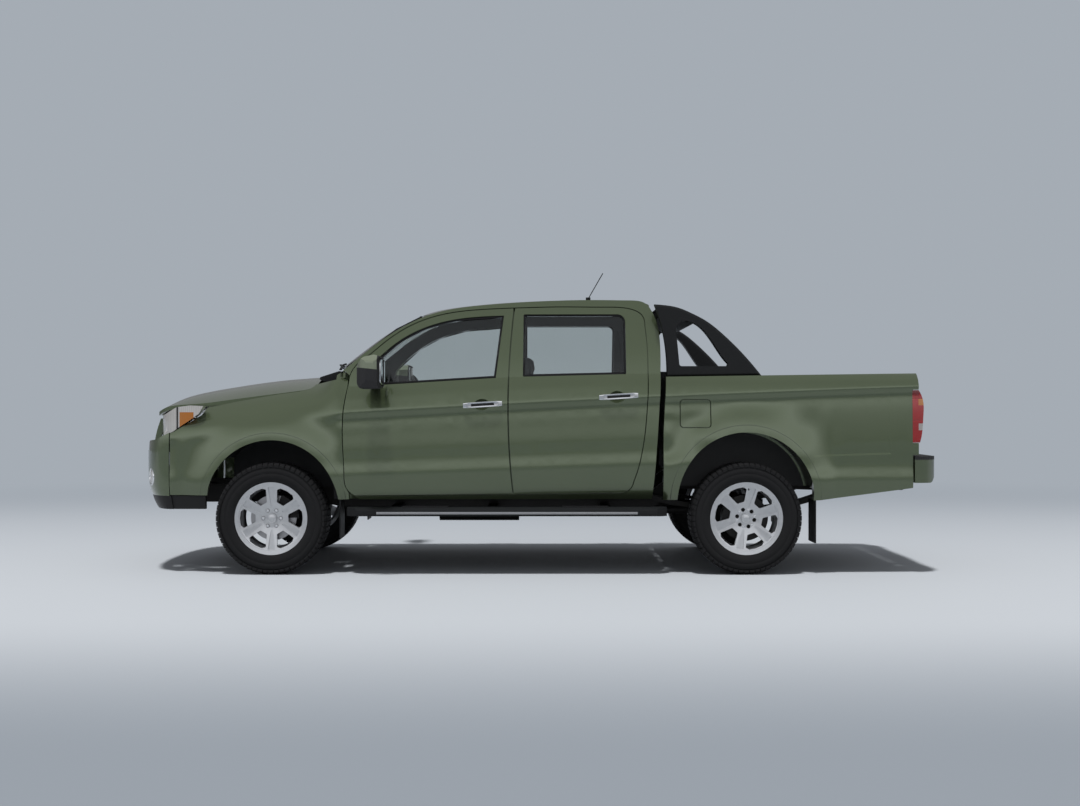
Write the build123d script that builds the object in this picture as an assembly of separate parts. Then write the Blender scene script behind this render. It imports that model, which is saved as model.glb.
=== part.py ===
"""A four-door pickup truck, about 5.3 m long, as an assembly of separate pieces.

Millimetres. X runs from the nose to the tail, Y across (the left side is -Y), Z up.
The origin is on the ground under the middle of the truck's length and width.
"""
import math
import os

from build123d import *

# ---------------------------------------------------------------- driving sizes
wheelbase = 3085
front_overhang = 945
rear_overhang = 1260
body_half_width = 850          # at the shoulder crease, beside the doors
track = 1530
tyre_radius = 364
tyre_width = 232
spokes = 6
rim_flange_r = 236
panel_gap = 6                  # between neighbouring outer panels
post_gap = 9                   # between the front and the rear door, whose edges pass as they open
frame_gap = 8                  # behind the doors' window frames
seat_gap = 0.3                 # between pieces that rest on each other

overall_length = front_overhang + wheelbase + rear_overhang
nose_x = -overall_length / 2
tail_x = overall_length / 2
front_axle_x = nose_x + front_overhang
rear_axle_x = front_axle_x + wheelbase
wheel_y = track / 2

# ---------------------------------------------------------------- stations along the truck
hood_rear_x = front_axle_x + 262
door_front_x = front_axle_x + 466       # foremost point of the front door's edge
post_x = front_axle_x + 1538            # line between the doors at the belt
rear_door_x = front_axle_x + 2448       # rearmost point of the rear door's edge
cab_rear_x = front_axle_x + 2537
bed_gap = 32
bed_front_x = cab_rear_x + bed_gap
bed_rear_x = tail_x - 130

front_handle = (front_axle_x + 1366, 1104)
rear_handle = (front_axle_x + 2246, 1158)
scoop_radius = 50
scoop_depth = 16

# ---------------------------------------------------------------- heights
sill_z = 485
door_bottom_z = 512
crease_front_z = 1044
belt_front_z = 1222
roof_z = 1828
aerial_top_z = 1998
rail_front_z = 1286
rail_rear_z = 1309
bed_floor_z = 820
gate_half_width = 687
floor_field = 3                # the load floor's flat field stands this much above its edges
frame_top_z = 528
cab_floor_z = frame_top_z + 0.3
front_arch_z = 441
front_arch_r = 432
rear_arch_z = 483
rear_lower_z = 622
nose_bottom_z = 505
valance_bottom_z = 418
nose_corner = 300              # how far back the nose's corners reach
nose_seam_x = nose_x + nose_corner - 41
fog_y = 668
fog_z = 628
fog_r = 56
rear_arch_r = 441
arch_flare = 34                # how far the wheel arches stand out

# ---------------------------------------------------------------- wall thicknesses
door_inner_y = 750             # plane of the doors' inner side
door_frame_thickness = 26
side_depth = 160
pillar_depth = 104
fender_thickness = 26
roof_thickness = 16
bed_wall = 70
glass_thickness = 5
glass_inset = 14
back_wall = 40
shoulder_drop = 62


def ease(t):
    """A smooth step from 0 to 1."""
    t = min(1.0, max(0.0, t))
    return t * t * (3 - 2 * t)


def through(*points):
    """A smooth function through a few (position, value) pairs, level beyond the ends' slopes."""
    slopes = []
    for i, (x, v) in enumerate(points):
        a, b = points[max(0, i - 1)], points[min(len(points) - 1, i + 1)]
        slopes.append((b[1] - a[1]) / (b[0] - a[0]))

    def value(x):
        if x <= points[0][0]:
            return points[0][1] + slopes[0] * (x - points[0][0])
        for i in range(len(points) - 1):
            (x0, v0), (x1, v1) = points[i], points[i + 1]
            if x <= x1:
                h = x1 - x0
                t = (x - x0) / h
                return (
                    v0 * (1 + 2 * t) * (1 - t) ** 2
                    + slopes[i] * h * t * (1 - t) ** 2
                    + v1 * t * t * (3 - 2 * t)
                    + slopes[i + 1] * h * t * t * (t - 1)
                )
        return points[-1][1] + slopes[-1] * (x - points[-1][0])

    return value


def from_front_axle(*pairs):
    return through(*[(front_axle_x + x, z) for x, z in pairs])


# ---------------------------------------------------------------- lines of the body side
def crease_z(x):
    """Height of the shoulder crease, which climbs towards the tail."""
    d = x - door_front_x
    return crease_front_z + 0.060 * d - 3.6e-6 * d * d


def belt_z(x):
    """Height of the line under the side windows."""
    t = min(1.0, max(0.0, (x - front_axle_x - 540) / 1600))
    return belt_front_z + 84 * (1.4 * t - 0.4 * t * t)


def lower_z(x):
    """Height of the lower body line, where the doors are widest; it drops behind the rear wheel."""
    line = 650 + 0.037 * (x - door_front_x)
    drop = ease((x - bed_front_x - 60) / 800)
    return line * (1 - drop) + rear_lower_z * drop


def rail_z(x):
    """Height of the load bed's rail."""
    return rail_front_z + (rail_rear_z - rail_front_z) * (x - bed_front_x) / (bed_rear_x - bed_front_x)


# hood line beside the wing, the hood's middle, and the roof's edge and middle, seen from the side
hood_edge_z = from_front_axle(
    (-830, 1040), (-700, 1078), (-476, 1107), (-240, 1141), (195, 1198), (262, 1212)
)
hood_mid_z = from_front_axle(
    (-830, 1052), (-750, 1127), (-640, 1177), (-350, 1233), (-63, 1273), (165, 1292), (290, 1300)
)
roof_edge_z = from_front_axle(
    (380, 1290), (448, 1336), (610, 1464), (816, 1609), (1013, 1704), (1145, 1739), (1364, 1768),
    (1611, 1787), (1883, 1799), (2137, 1803), (2340, 1800), (2434, 1786), (2490, 1750), (2530, 1690)
)
roof_mid_z = from_front_axle(
    (860, 1697), (1020, 1752), (1250, 1787), (1600, 1815), (2050, 1828), (2340, 1821), (2450, 1804), (2520, 1782)
)
pillar_x = through(
    (1290, front_axle_x + 385), (1336, front_axle_x + 448), (1464, front_axle_x + 610), (1609, front_axle_x + 816),
    (1704, front_axle_x + 1013), (1760, front_axle_x + 1180)
)
door_front_edge_x = through(
    (door_bottom_z, front_axle_x + 535), (552, front_axle_x + 489), (730, front_axle_x + 470),
    (1000, front_axle_x + 463), (1286, front_axle_x + 497)
)
cab_back_x = through(
    (sill_z, cab_rear_x - 58), (900, cab_rear_x - 26), (1310, cab_rear_x - 3), (1489, cab_rear_x),
    (1657, cab_rear_x - 21), (1768, cab_rear_x - 70)
)


def side_y(x, z):
    """Half the body's width at a point of its side."""
    crease, belt, lower = crease_z(x), belt_z(x), lower_z(x)
    y = body_half_width
    front = ease((front_axle_x + 430 - x) / 180)
    shoulder = 0.0
    if z > crease:
        t = (z - crease) / (belt - crease)
        shoulder = 0.18 * (z - crease) + (shoulder_drop - 0.18 * (belt - crease)) * t ** 2.6
    wing = 0.0
    if front > 0:
        top = hood_edge_z(x)
        t = max(0.0, (z - top + 230) / 230)
        wing = 150 * t ** 2.3
    if front < 1:
        fade = ease((x - front_axle_x - 330) / 200)
        shoulder += fade * 9 * ease((crease - z) / 26) * (1 - ease((crease - 50 - z) / 260))
    y -= shoulder * (1 - front) + wing * front
    if z < lower:
        d = lower - z
        y -= 0.06 * d + 0.00125 * d * d
    y += 6 * ease((lower + 60 - z) / 60) * (1 - front)
    # taper in plan towards the nose and the tail
    y -= 100 * max(0.0, (front_axle_x + 350 - x) / 1250) ** 2
    y -= 26 * max(0.0, (x - rear_axle_x - 300) / 800) ** 2
    # flared wheel arches
    for ax, az, ar in (
        (front_axle_x, front_arch_z, front_arch_r),
        (rear_axle_x, rear_arch_z, rear_arch_r),
    ):
        r = math.hypot(x - ax, z - az)
        flare = arch_flare * (1 - ease((r - ar - 10) / 190)) * ease((z - 380) / 200)
        y += flare * (ease((door_front_x - 4 - x) / 90) if ax == front_axle_x else 1)
    return y


def window_side_y(x, up):
    """Half the cab's width beside the windows, from the height above the belt."""
    y = body_half_width - shoulder_drop - 4 - 0.25 * up - 2.2e-4 * up * up
    return y - 20 * ease((front_axle_x + 620 - x) / 300)


# ---------------------------------------------------------------- helpers for solids
def spread(lo, hi, count):
    return [lo + (hi - lo) * i / (count - 1) for i in range(count)]


def stations(x0, x1):
    return spread(x0, x1, max(6, int((x1 - x0) / 85) + 2))


def skin(rows):
    """A smooth face through rows of points."""
    return Face.make_surface_from_array_of_points([[Vector(*p) for p in row] for row in rows])


def spacing(row):
    """How far along a row each of its points lies, from 0 to 1."""
    way = [0]
    for before, point in zip(row, row[1:]):
        way.append(way[-1] + math.dist(before, point) ** 0.8)
    return [length / way[-1] for length in way]


def slab(rows, thickness):
    """The left side's wall under its outer face, lofted through a cross-section at each station."""
    up = [sum(steps) / len(rows) for steps in zip(*[spacing(row) for row in rows])]
    down = [1 - t for t in reversed(up)]
    sections = []
    for row in rows:
        outer = [Vector(*p) for p in row]
        inner = [p + Vector(0, thickness, 0) for p in reversed(outer)]
        skins = [Edge.make_spline(outer, parameters=up), Edge.make_spline(inner, parameters=down)]
        ends = [Line(outer[-1], inner[0]), Line(inner[-1], outer[0])]
        sections.append(make_face(Wire([skins[0], ends[0], skins[1], ends[1]])))
    return loft(sections)


def body_rows(x, top):
    """Heights at which the body side is sampled, following its lines."""
    low, crease = lower_z(x), crease_z(x)
    rise = top - crease
    return [
        sill_z - 30, (sill_z - 30 + low) / 2, low - 40, low, low + 60, low + 160, (low + crease) / 2 + 60,
        crease - 90, crease - 30, crease, crease + 0.25 * rise, crease + 0.6 * rise, crease + 0.85 * rise,
        top - 8, top + 26
    ]


def lower_wall(x0, x1, inset, thickness, top=belt_z):
    rows = [[(x, inset - side_y(x, z), z) for z in body_rows(x, top(x))] for x in stations(x0, x1)]
    return slab(rows, thickness)


def wing_wall(inset, thickness):
    return lower_wall(nose_x + 240, front_axle_x + 504, inset, thickness, top=hood_edge_z)


def cab_wall(inset, thickness):
    return lower_wall(front_axle_x + 380, cab_rear_x + 12, inset, thickness)


def bed_outer_wall(inset, thickness):
    return lower_wall(bed_front_x - 20, bed_rear_x + 20, inset, thickness, top=rail_z)


def upper_wall(x0, x1, inset, thickness):
    rows = []
    for x in stations(x0, x1):
        rows.append([(x, inset - window_side_y(x, up), belt_z(x) + up) for up in spread(-60, 640, 11)])
    return slab(rows, thickness)


def outline(points, radii=None):
    """A closed face in side view, from (x, z) corners; radii maps a corner's number to its rounding."""
    face = make_face(Polyline(*points, close=True))
    for number, radius in (radii or {}).items():
        px, pz = points[number]
        corner = face.vertices().sort_by_distance((px, pz, 0))[0]
        face = fillet(corner, radius)
    return face


def side_prism(face, y0=-1300, y1=0):
    """A side-view face as a solid from y0 to y1."""
    plane = Plane(origin=(0, y1, 0), x_dir=(1, 0, 0), z_dir=(0, -1, 0))
    return extrude(plane * face, amount=y1 - y0)


def plan_prism(face, z0, z1):
    """A face seen from above as a solid from z0 to z1."""
    return extrude(Plane.XY.offset(z0) * face, amount=z1 - z0)


def below(line, x0, x1, bottom=0):
    """Side-view region under a line."""
    top = Spline(*[(x, line(x)) for x in stations(x0, x1)])
    sides = Polyline(top @ 1, (x1, bottom), (x0, bottom), top @ 0)
    return make_face(Wire([top, *sides.edges()]))


def above(line, x0, x1, top=2400):
    """Side-view region over a line."""
    return below(line, x0, x1, top)


def block(x0, x1, y0, y1, z0, z1):
    return Pos((x0 + x1) / 2, (y0 + y1) / 2, (z0 + z1) / 2) * Box(x1 - x0, y1 - y0, z1 - z0)


def bar_y(x, z, y0, y1, r):
    """A round bar across the truck."""
    return Pos(x, (y0 + y1) / 2, z) * Rot(90, 0, 0) * Cylinder(r, y1 - y0)


def rod(a, b, r):
    """A round bar between two points."""
    a, b = Vector(*a), Vector(*b)
    return Plane(origin=(a + b) / 2, z_dir=b - a) * Cylinder(r, (b - a).length)


def mirrored(shape):
    return mirror(shape, about=Plane.XZ)


def both(shape):
    return [shape, mirrored(shape)]


def save(name, *shapes):
    """Writes one piece; each shape given is a solid of its own."""
    os.makedirs("parts", exist_ok=True)
    solids = [s for shape in shapes for s in shape.solids()]
    export_step(Compound(children=solids) if len(solids) > 1 else solids[0], f"parts/{name}.step")


def save_pair(name, shape):
    save(name + "_left", shape)
    save(name + "_right", mirrored(shape))


# ---------------------------------------------------------------- outlines of doors and windows, side view
def front_door_outline():
    f = front_axle_x
    edge = Spline(*[(door_front_edge_x(z), z) for z in (door_bottom_z, 530, 560, 640, 800, 950, 1100, 1200, 1286)])
    pillar = Spline(
        (f + 497, 1286), (f + 551, 1374), (f + 615, 1424), (f + 712, 1507), (f + 863, 1613), (f + 1037, 1686),
        (f + 1257, 1727), (f + 1570, 1745)
    )
    post = Spline((f + 1570, 1745), (post_x, 1340), (post_x - 2, 900), (f + 1566, door_bottom_z + 10))
    foot = Line((f + 1566, door_bottom_z + 10), (f + 535, door_bottom_z))
    return make_face(Wire([edge, pillar, post, foot]))


def rear_door_outline():
    f, g = front_axle_x, post_gap
    post = Spline(
        (f + 1566 + g, door_bottom_z + 10), (post_x - 2 + g, 900), (post_x + g, 1340), (f + 1570 + g, 1745)
    )
    top = Spline(
        (f + 1570 + g, 1745), (f + 1860, 1752), (f + 2185, 1750), (f + 2330, 1741), (f + 2412, 1705), (f + 2436, 1630)
    )
    back = Spline((f + 2436, 1630), (f + 2448, 1480), (f + 2449, 1290), (f + 2434, 1000), (f + 2398, 755), (f + 2352, 600))
    heel = Spline((f + 2352, 600), (f + 2333, 556), (f + 2290, door_bottom_z + 18))
    foot_line = Line((f + 2290, door_bottom_z + 18), (f + 1566 + g, door_bottom_z + 10))
    return make_face(Wire([post, top, back, heel, foot_line]))


def front_window_outline():
    f = front_axle_x
    top = Spline(
        (f + 640, 1370), (f + 712, 1441), (f + 820, 1530), (f + 993, 1620), (f + 1146, 1664), (f + 1330, 1688), (f + 1506, 1696)
    )
    back = Line((f + 1506, 1696), (f + 1455, belt_z(f + 1455)))
    foot = Line((f + 1455, belt_z(f + 1455)), (f + 600, belt_z(f + 600)))
    front = Line((f + 600, belt_z(f + 600)), (f + 640, 1370))
    return make_face(Wire([top, back, foot, front]))


def rear_window_outline():
    f = front_axle_x
    corners = [
        (f + 1633, belt_z(f + 1633)), (f + 1636, 1704), (f + 2310, 1704), (f + 2310, 1303)
    ]
    return outline(corners, {1: 10, 2: 52, 3: 8, 0: 8})


def grown(face, amount):
    """The outline moved outwards, or inwards when the amount is negative."""
    edges = []
    for edge in offset(face, amount, kind=Kind.ARC).wires()[0].edges():
        plain = edge.geom_type in (GeomType.LINE, GeomType.CIRCLE)
        edges.append(edge if plain else Spline(*[edge @ t for t in spread(0, 1, 12)]))
    return make_face(Wire(edges))


# ---------------------------------------------------------------- cab
def cab_outline():
    """The cab's side in side view: sill, back, roof and windscreen pillar."""
    f = front_axle_x
    back = Spline(*[(cab_back_x(z), z) for z in (sill_z, 700, 1000, 1310, 1489, 1657, 1740)])
    roof_xs = [f + 2440, f + 2340, f + 2050, f + 1700, f + 1350, f + 1150, f + 1000, f + 800, f + 600, f + 440, f + 395]
    roof = Spline((cab_back_x(1740), 1740), *[(x, roof_edge_z(x)) for x in roof_xs])
    base = Line(roof @ 1, (f + 395, sill_z))
    sill = Line((f + 395, sill_z), (cab_back_x(sill_z), sill_z))
    return make_face(Wire([back, roof, base, sill]))


def make_cab_side():
    """Outer side frame of the cab: windscreen pillar, roof rail, centre post, rear quarter and sill."""
    f = front_axle_x
    x0, x1 = f + 380, cab_rear_x + 12
    whole = side_prism(cab_outline())
    lower = cab_wall(0, side_depth) & side_prism(below(belt_z, x0 - 20, x1 + 20))
    upper = upper_wall(x0, x1, 0, pillar_depth) & side_prism(above(lambda x: belt_z(x) - 40, x0 - 20, x1 + 20))
    side = (lower + upper) & whole
    shade = below(lambda x: belt_z(x) + 4, x0 - 20, x1 + 20)
    for door in (front_door_outline(), rear_door_outline()):
        cavity = grown(door, panel_gap)
        side -= upper_wall(x0, x1, -40, door_frame_thickness + 40 + frame_gap) & side_prism(cavity)
        side -= side_prism(cavity & shade, -1300, panel_gap - door_inner_y)
    for way in (front_entry(), rear_entry()):
        side -= side_prism(way)
    edge = Spline(*[(door_front_edge_x(z) + 3, z) for z in (sill_z - 20, 520, 600, 800, 950, 1100, 1200, 1290)])
    front = Polyline(edge @ 1, (f + 440, 1345), (f + 350, 1300), (f + 350, sill_z - 20), edge @ 0)
    cover = make_face(Wire([edge, *front.edges()]))
    side -= lower_wall(x0 - 40, f + 560, -40, 40 + fender_thickness + 44, top=lambda x: 1330) & side_prism(cover)
    side -= roof_slab(roof_thickness + seat_gap, 50)
    return side - windscreen_slab(-300, 1280, 1760) - windscreen_slab(12, 1280, 1760, 40)


def front_entry():
    f = front_axle_x
    top = Spline((f + 648, 1360), (f + 720, 1430), (f + 830, 1518), (f + 993, 1606), (f + 1146, 1652), (f + 1500, 1684))
    back = Spline((f + 1500, 1684), (f + 1490, 1300), (f + 1490, 620))
    foot = Line((f + 1490, 620), (f + 575, 620))
    front = Line((f + 575, 620), (f + 648, 1360))
    return make_face(Wire([top, back, foot, front]))


def rear_entry():
    f = front_axle_x
    corners = [(f + 1610, 630), (f + 1625, 1694), (f + 2330, 1694), (f + 2390, 1300), (f + 2310, 800), (f + 2220, 630)]
    return outline(corners, {0: 40, 1: 20, 2: 70, 4: 90, 5: 40})


def make_door(door_face, window_face, x0, x1, handle):
    """A door: a thick lower part, a thinner frame round the window, and a hand scoop behind its handle."""
    shape = side_prism(door_face)
    shade = side_prism(below(belt_z, x0 - 40, x1 + 40))
    skin_part = lower_wall(x0 - 30, x1 + 30, 0, door_frame_thickness) & shape & shade
    core = lower_wall(x0 - 30, x1 + 30, 20, 120) & side_prism(grown(door_face, -14), -1300, -door_inner_y)
    core = core & block(x0 - 100, x1 + 100, -1300, 0, 0, 1200)
    frame = upper_wall(x0 - 30, x1 + 30, 0, door_frame_thickness) & shape
    frame = frame & side_prism(above(lambda x: belt_z(x) - 40, x0 - 40, x1 + 40))
    x, z = handle
    ball = (scoop_radius ** 2 + scoop_depth ** 2) / (2 * scoop_depth)
    scoop = Pos(x, scoop_depth - ball - side_y(x, z), z) * Sphere(ball)
    return skin_part + core + frame - side_prism(window_face) - scoop


def make_pane(window_face, x0, x1):
    pane = upper_wall(x0, x1, glass_inset, glass_thickness)
    return pane & side_prism(grown(window_face, -seat_gap))


def roof_half(x):
    return window_side_y(x, roof_edge_z(x) - belt_z(x)) - 4


def roof_skin_z(x, y):
    """Height of the roof's outer surface."""
    edge, mid = roof_edge_z(x), roof_mid_z(x)
    t = min(1.15, abs(y) / roof_half(x))
    return mid - (mid - edge + 2) * t ** 2.4


def roof_slab(thickness, above_skin=0):
    """The roof's outer surface as a slab, beyond the roof's edges at the front and back."""
    f = front_axle_x
    xs = spread(f + 890, f + 2520, 20)
    rows = []
    for x in xs:
        half = roof_half(x)
        rows.append([(x, half * v, roof_skin_z(x, half * v) + above_skin) for v in spread(-1.02, 1.02, 15)])
    whole = extrude(skin(rows), amount=thickness + above_skin, dir=(0, 0, -1))
    return whole & plan_prism(roof_plan(), 1500, 2100)


def roof_plan():
    f = front_axle_x
    edge = spread(f + 1010, f + 2470, 12)
    left = Spline(*[(x, -roof_half(x)) for x in edge])
    right = Spline(*[(x, roof_half(x)) for x in reversed(edge)])
    front = Spline(right @ 1, (f + 952, 400), (f + 924, 0), (f + 952, -400), left @ 0)
    back = Spline(left @ 1, (f + 2492, -380), (f + 2500, 0), (f + 2492, 380), right @ 0)
    return make_face(Wire([left, back, right, front]))


def make_roof():
    return roof_slab(roof_thickness) & plan_prism(grown(roof_plan(), -1), 1500, 2100)


def windscreen_x(y, z):
    """The windscreen's outer surface: raked, and bowed forward in its middle."""
    return pillar_x(z) - 105 + 105 * (y / 700) ** 2


def windscreen_slab(thickness, z0, z1, shrink=0):
    """A slab from the windscreen's surface, backwards or (negative thickness) forwards."""
    rows = [[(windscreen_x(y, z), y, z) for y in spread(-860, 860, 13)] for z in spread(z0, z1, 9)]
    slab_solid = extrude(skin(rows), amount=abs(thickness), dir=(1 if thickness > 0 else -1, 0, 0))
    if shrink:
        slab_solid = slab_solid & windscreen_frame(shrink - 1)
    return slab_solid


def windscreen_frame(inset):
    """The windscreen's outline from the front, as a solid along the truck."""
    z0, z1 = 1352, 1690
    low = window_side_y(pillar_x(z0), z0 - belt_front_z) - inset
    high = window_side_y(pillar_x(z1), z1 - 1270) - inset
    shape = make_face(Polyline((-low, z0), (low, z0), (high, z1), (-high, z1), close=True))
    plane = Plane(origin=(-3000, 0, 0), x_dir=(0, 1, 0), z_dir=(1, 0, 0))
    return extrude(plane * shape, amount=4000)


def make_windscreen():
    return windscreen_slab(10, 1290, 1750) & windscreen_frame(40)


def make_cab_floor():
    """Floor pan with its tunnel, the bulkhead in front and the heel board under the rear seat."""
    f = front_axle_x
    front, back = f + 430, cab_rear_x
    pan = block(front, back, -900, 900, cab_floor_z, cab_floor_z + 18)
    bulkhead = block(front - 18, front, -900, 900, cab_floor_z, 1262)
    tunnel = block(front, back, -150, 150, cab_floor_z, 640)
    heel = block(f + 1990, back, -900, 900, cab_floor_z, 700)
    whole = pan + bulkhead + tunnel + heel
    whole -= block(front - 30, front + 1, -900, -600, 1180, 1300) + block(front - 30, front + 1, 600, 900, 1180, 1300)
    side = cab_wall(-120, 120 + side_depth + seat_gap)
    whole = whole - side - mirrored(side)
    return whole - back_wall_slab(-seat_gap, 300, -1000, 1000)


def back_wall_slab(shift, thickness, y0, y1):
    """A slab that follows the cab's back, from its inner face rearwards; the shift moves that face."""
    line = [(cab_back_x(z) - back_wall + shift, z) for z in (440, 700, 1000, 1310, 1489, 1657, 1768, 1830)]
    inner = Spline(*line)
    edge = Polyline(inner @ 1, (line[-1][0] + thickness, 1830), (line[0][0] + thickness, 440), inner @ 0)
    return side_prism(make_face(Wire([inner, *edge.edges()])), y0, y1)


def make_cab_back():
    """The cab's rear wall with its window opening, and the pane in it."""
    zs = (cab_floor_z, 700, 1000, 1310, 1489, 1657, 1745)
    inner = Spline(*[(cab_back_x(z) - back_wall, z) for z in zs])
    outer = Spline(*[(cab_back_x(z), z) for z in reversed(zs)])
    face = make_face(Wire([inner, Line(inner @ 1, outer @ 0), outer, Line(outer @ 1, inner @ 0)]))
    half = 600
    wall = side_prism(face, -half, half)
    for sign in (-1, 1):
        y0, y1 = sorted((sign * half, sign * (half + 60)))
        wall += block(cab_rear_x - 150, cab_rear_x - 60, y0, y1, cab_floor_z, 700) & back_wall_slab(0, 40, -900, 900)
    side = cab_wall(-120, 120 + side_depth + seat_gap)
    wall = wall - side - mirrored(side)
    plane = Plane(origin=(-200, 0, 0), x_dir=(0, 1, 0), z_dir=(1, 0, 0))
    top = make_face(Polyline((-1000, 1300), (-600, 1300), (-480, 1728), (480, 1728), (600, 1300), (1000, 1300), (1000, 1900), (-1000, 1900), close=True))
    hole = make_face(Polyline((-530, 1330), (530, 1330), (430, 1680), (-430, 1680), close=True))
    hole = fillet(hole.vertices(), 50)
    wall -= extrude(plane * top, amount=2000)
    wall -= extrude(plane * hole, amount=2000)
    pane_face = make_face(Wire([
        Spline(*[(cab_back_x(z) - 16, z) for z in (1290, 1400, 1500, 1600, 1720)]),
        Line((cab_back_x(1720) - 16, 1720), (cab_back_x(1720) - 11, 1720)),
        Spline(*[(cab_back_x(z) - 11, z) for z in (1720, 1600, 1500, 1400, 1290)]),
        Line((cab_back_x(1290) - 11, 1290), (cab_back_x(1290) - 16, 1290)),
    ]))
    pane = side_prism(pane_face, -560, 560) & extrude(plane * grown(hole, -seat_gap), amount=2000)
    return wall, pane


def make_cowl():
    f = front_axle_x
    profile = make_face(Polyline((f + 270, 1272), (f + 275, 1288), (f + 400, 1328), (f + 440, 1322), (f + 440, 1262.3), (f + 400, 1262.3), (f + 300, 1258), close=True))
    return side_prism(profile, -590, 590)


# ---------------------------------------------------------------- front of the body
def make_wing():
    """Front wing: one wall from the headlamp to the door, with the wheel arch cut out."""
    f = front_axle_x
    x0, x1 = nose_seam_x + panel_gap, f + 484
    wall = wing_wall(0, fender_thickness)
    edge = Spline(*[(x, hood_edge_z(x) - 3) for x in stations(f - 446, f + 160)])
    end = Polyline(edge @ 1, (f + 180, 1290), (f + 420, 1316), (f + 480, 1286))
    gap = panel_gap
    heights = (1286, 1200, 1100, 950, 800, 640, 560, sill_z)
    rear = Spline(end @ 1, *[(door_front_edge_x(z) - gap + 1, z) for z in heights[1:]])
    foot = Polyline(
        rear @ 1, (f + 380, sill_z), (f, nose_bottom_z + 6), (x0, nose_bottom_z + 6), (x0, 917), (f - 660, 923),
        (f - 556, 985), (f - 480, 1036), (f - 447, 1092), edge @ 0
    )
    wall = wall & side_prism(make_face(Wire([edge, *end.edges(), rear, *foot.edges()])))
    wall -= bar_y(f, front_arch_z, -1300, 0, front_arch_r)
    wall -= side_prism(grown(front_door_outline(), gap))
    under_hood = plan_prism(grown(hood_plan(), gap), 900, 1500)
    wall -= under_hood & side_prism(above(lambda x: hood_edge_z(x) - 34, x0 - 40, x1 + 40))
    return wall - windscreen_slab(-300, 1280, 1760)


def nose_plan(z, shift=0.0):
    """The nose's edge from above at one height, left half: along the wing, round the corner, to the middle."""
    reach = nose_corner
    half = side_y(nose_x + reach, max(z, 520))
    along = []
    for x in (reach - 41, 250, 205, 160, 115, 75, 42, 18, 4, 0):
        t = (reach - x) / reach
        y = half * max(0.0, 1 - t ** 2.6) ** (1 / 2.4)
        along.append((nose_x + x + shift * t ** 0.5, -y))
    return along


def nose_band(points, depth):
    """A band seen from above behind a curve given for the left half."""
    full = points + [(x, -y) for x, y in reversed(points[:-1])]
    outer = Spline(*full)
    inner_points = [(x + depth * min(1.0, 0.35 + abs(1 - abs(y) / 760)), y * (1 - depth / 900)) for x, y in full]
    inner_points[0] = (full[0][0], full[0][1] + depth * 0.8)
    inner_points[-1] = (full[-1][0], full[-1][1] - depth * 0.8)
    inner = Spline(*reversed(inner_points))
    return make_face(Wire([outer, Line(outer @ 1, inner @ 0), inner, Line(inner @ 1, outer @ 0)]))


def nose_shell(levels, depth):
    """A wall round the nose, lofted through bands at (height, setback) levels."""
    return loft([Plane.XY.offset(z) * nose_band(nose_plan(z, shift), depth) for z, shift in levels])


def make_front_bumper():
    """Body-coloured bumper: the nose's wall from corner to corner, with its intake and fog lamp openings."""
    f, n = front_axle_x, nose_x
    levels = ((nose_bottom_z, 30), (560, 10), (640, 2), (740, 0), (850, 8), (960, 26))
    shape = outline([(n - 50, 400), (nose_seam_x, 400), (nose_seam_x, 919), (f - 785, 874), (n - 50, 846)])
    bumper = nose_shell(levels, 45) & side_prism(shape, -1300, 1300)
    bumper -= block(n - 50, n + 160, -526, 526, 796, 1000)
    shelf = plan_prism(nose_band(nose_plan(790), 112), 780, 796) & side_prism(shape, -1300, 1300)
    bumper += shelf & block(n + 25, n + 700, -700, 700, 700, 900)
    for side in (-1, 1):
        y0, y1 = sorted((side * 330, side * 400))
        bumper += block(n + 30, f - 780.3, y0, y1, 520, 556) - plan_prism(nose_band(nose_plan(560, -60), 60), 400, 700)
        y0, y1 = sorted((side * 600, side * 680))
        bumper += block(n + 150, n + 250, y0, y1, 700, 829.7) & plan_prism(nose_band(nose_plan(760, 4), 180), 700, 900)
    bumper -= block(n - 50, n + 200, -430, 430, 585, 690)
    for side in (-1, 1):
        bumper -= Pos(n + 100, side * fog_y, fog_z) * Rot(0, 90, side * 42) * Cylinder(fog_r, 220)
    return bumper


def make_valance():
    """Black lower lip that joins the bumper's foot to the wheel arches."""
    f, n = front_axle_x, nose_x
    levels = ((valance_bottom_z, 74), (nose_bottom_z - 40, 44), (nose_bottom_z - seat_gap, 30))
    lip = nose_shell(levels, 45)
    for side in (-1, 1):
        y = side_y(nose_seam_x, 520)
        y0, y1 = sorted((side * (y - 46), side * (y - 10)))
        lip += block(nose_seam_x - 20, f - 452, y0, y1, valance_bottom_z, nose_bottom_z - seat_gap)
    return lip


def make_grille():
    """Grille: a body-coloured surround with a centre post and four slats."""
    levels = []
    for z, back in ((796.3, 0), (900, 14), (1010, 48)):
        n = nose_x + back
        levels.append(Plane.XY.offset(z) * nose_strip([(n + 86, -520), (n + 58, -300), (n + 46, 0)], 40))
    band = loft(levels)
    for z in (826, 872, 918, 964):
        band -= block(nose_x, nose_x + 400, -484, -26, z, z + 30) + block(nose_x, nose_x + 400, 26, 484, z, z + 30)
    return band


def nose_strip(points, depth):
    """A narrow band across the nose, seen from above."""
    full = points + [(x, -y) for x, y in reversed(points[:-1])]
    outer = Spline(*full)
    inner = Spline(*[(x + depth, y) for x, y in reversed(full)])
    return make_face(Wire([outer, Line(outer @ 1, inner @ 0), inner, Line(inner @ 1, outer @ 0)]))


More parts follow.
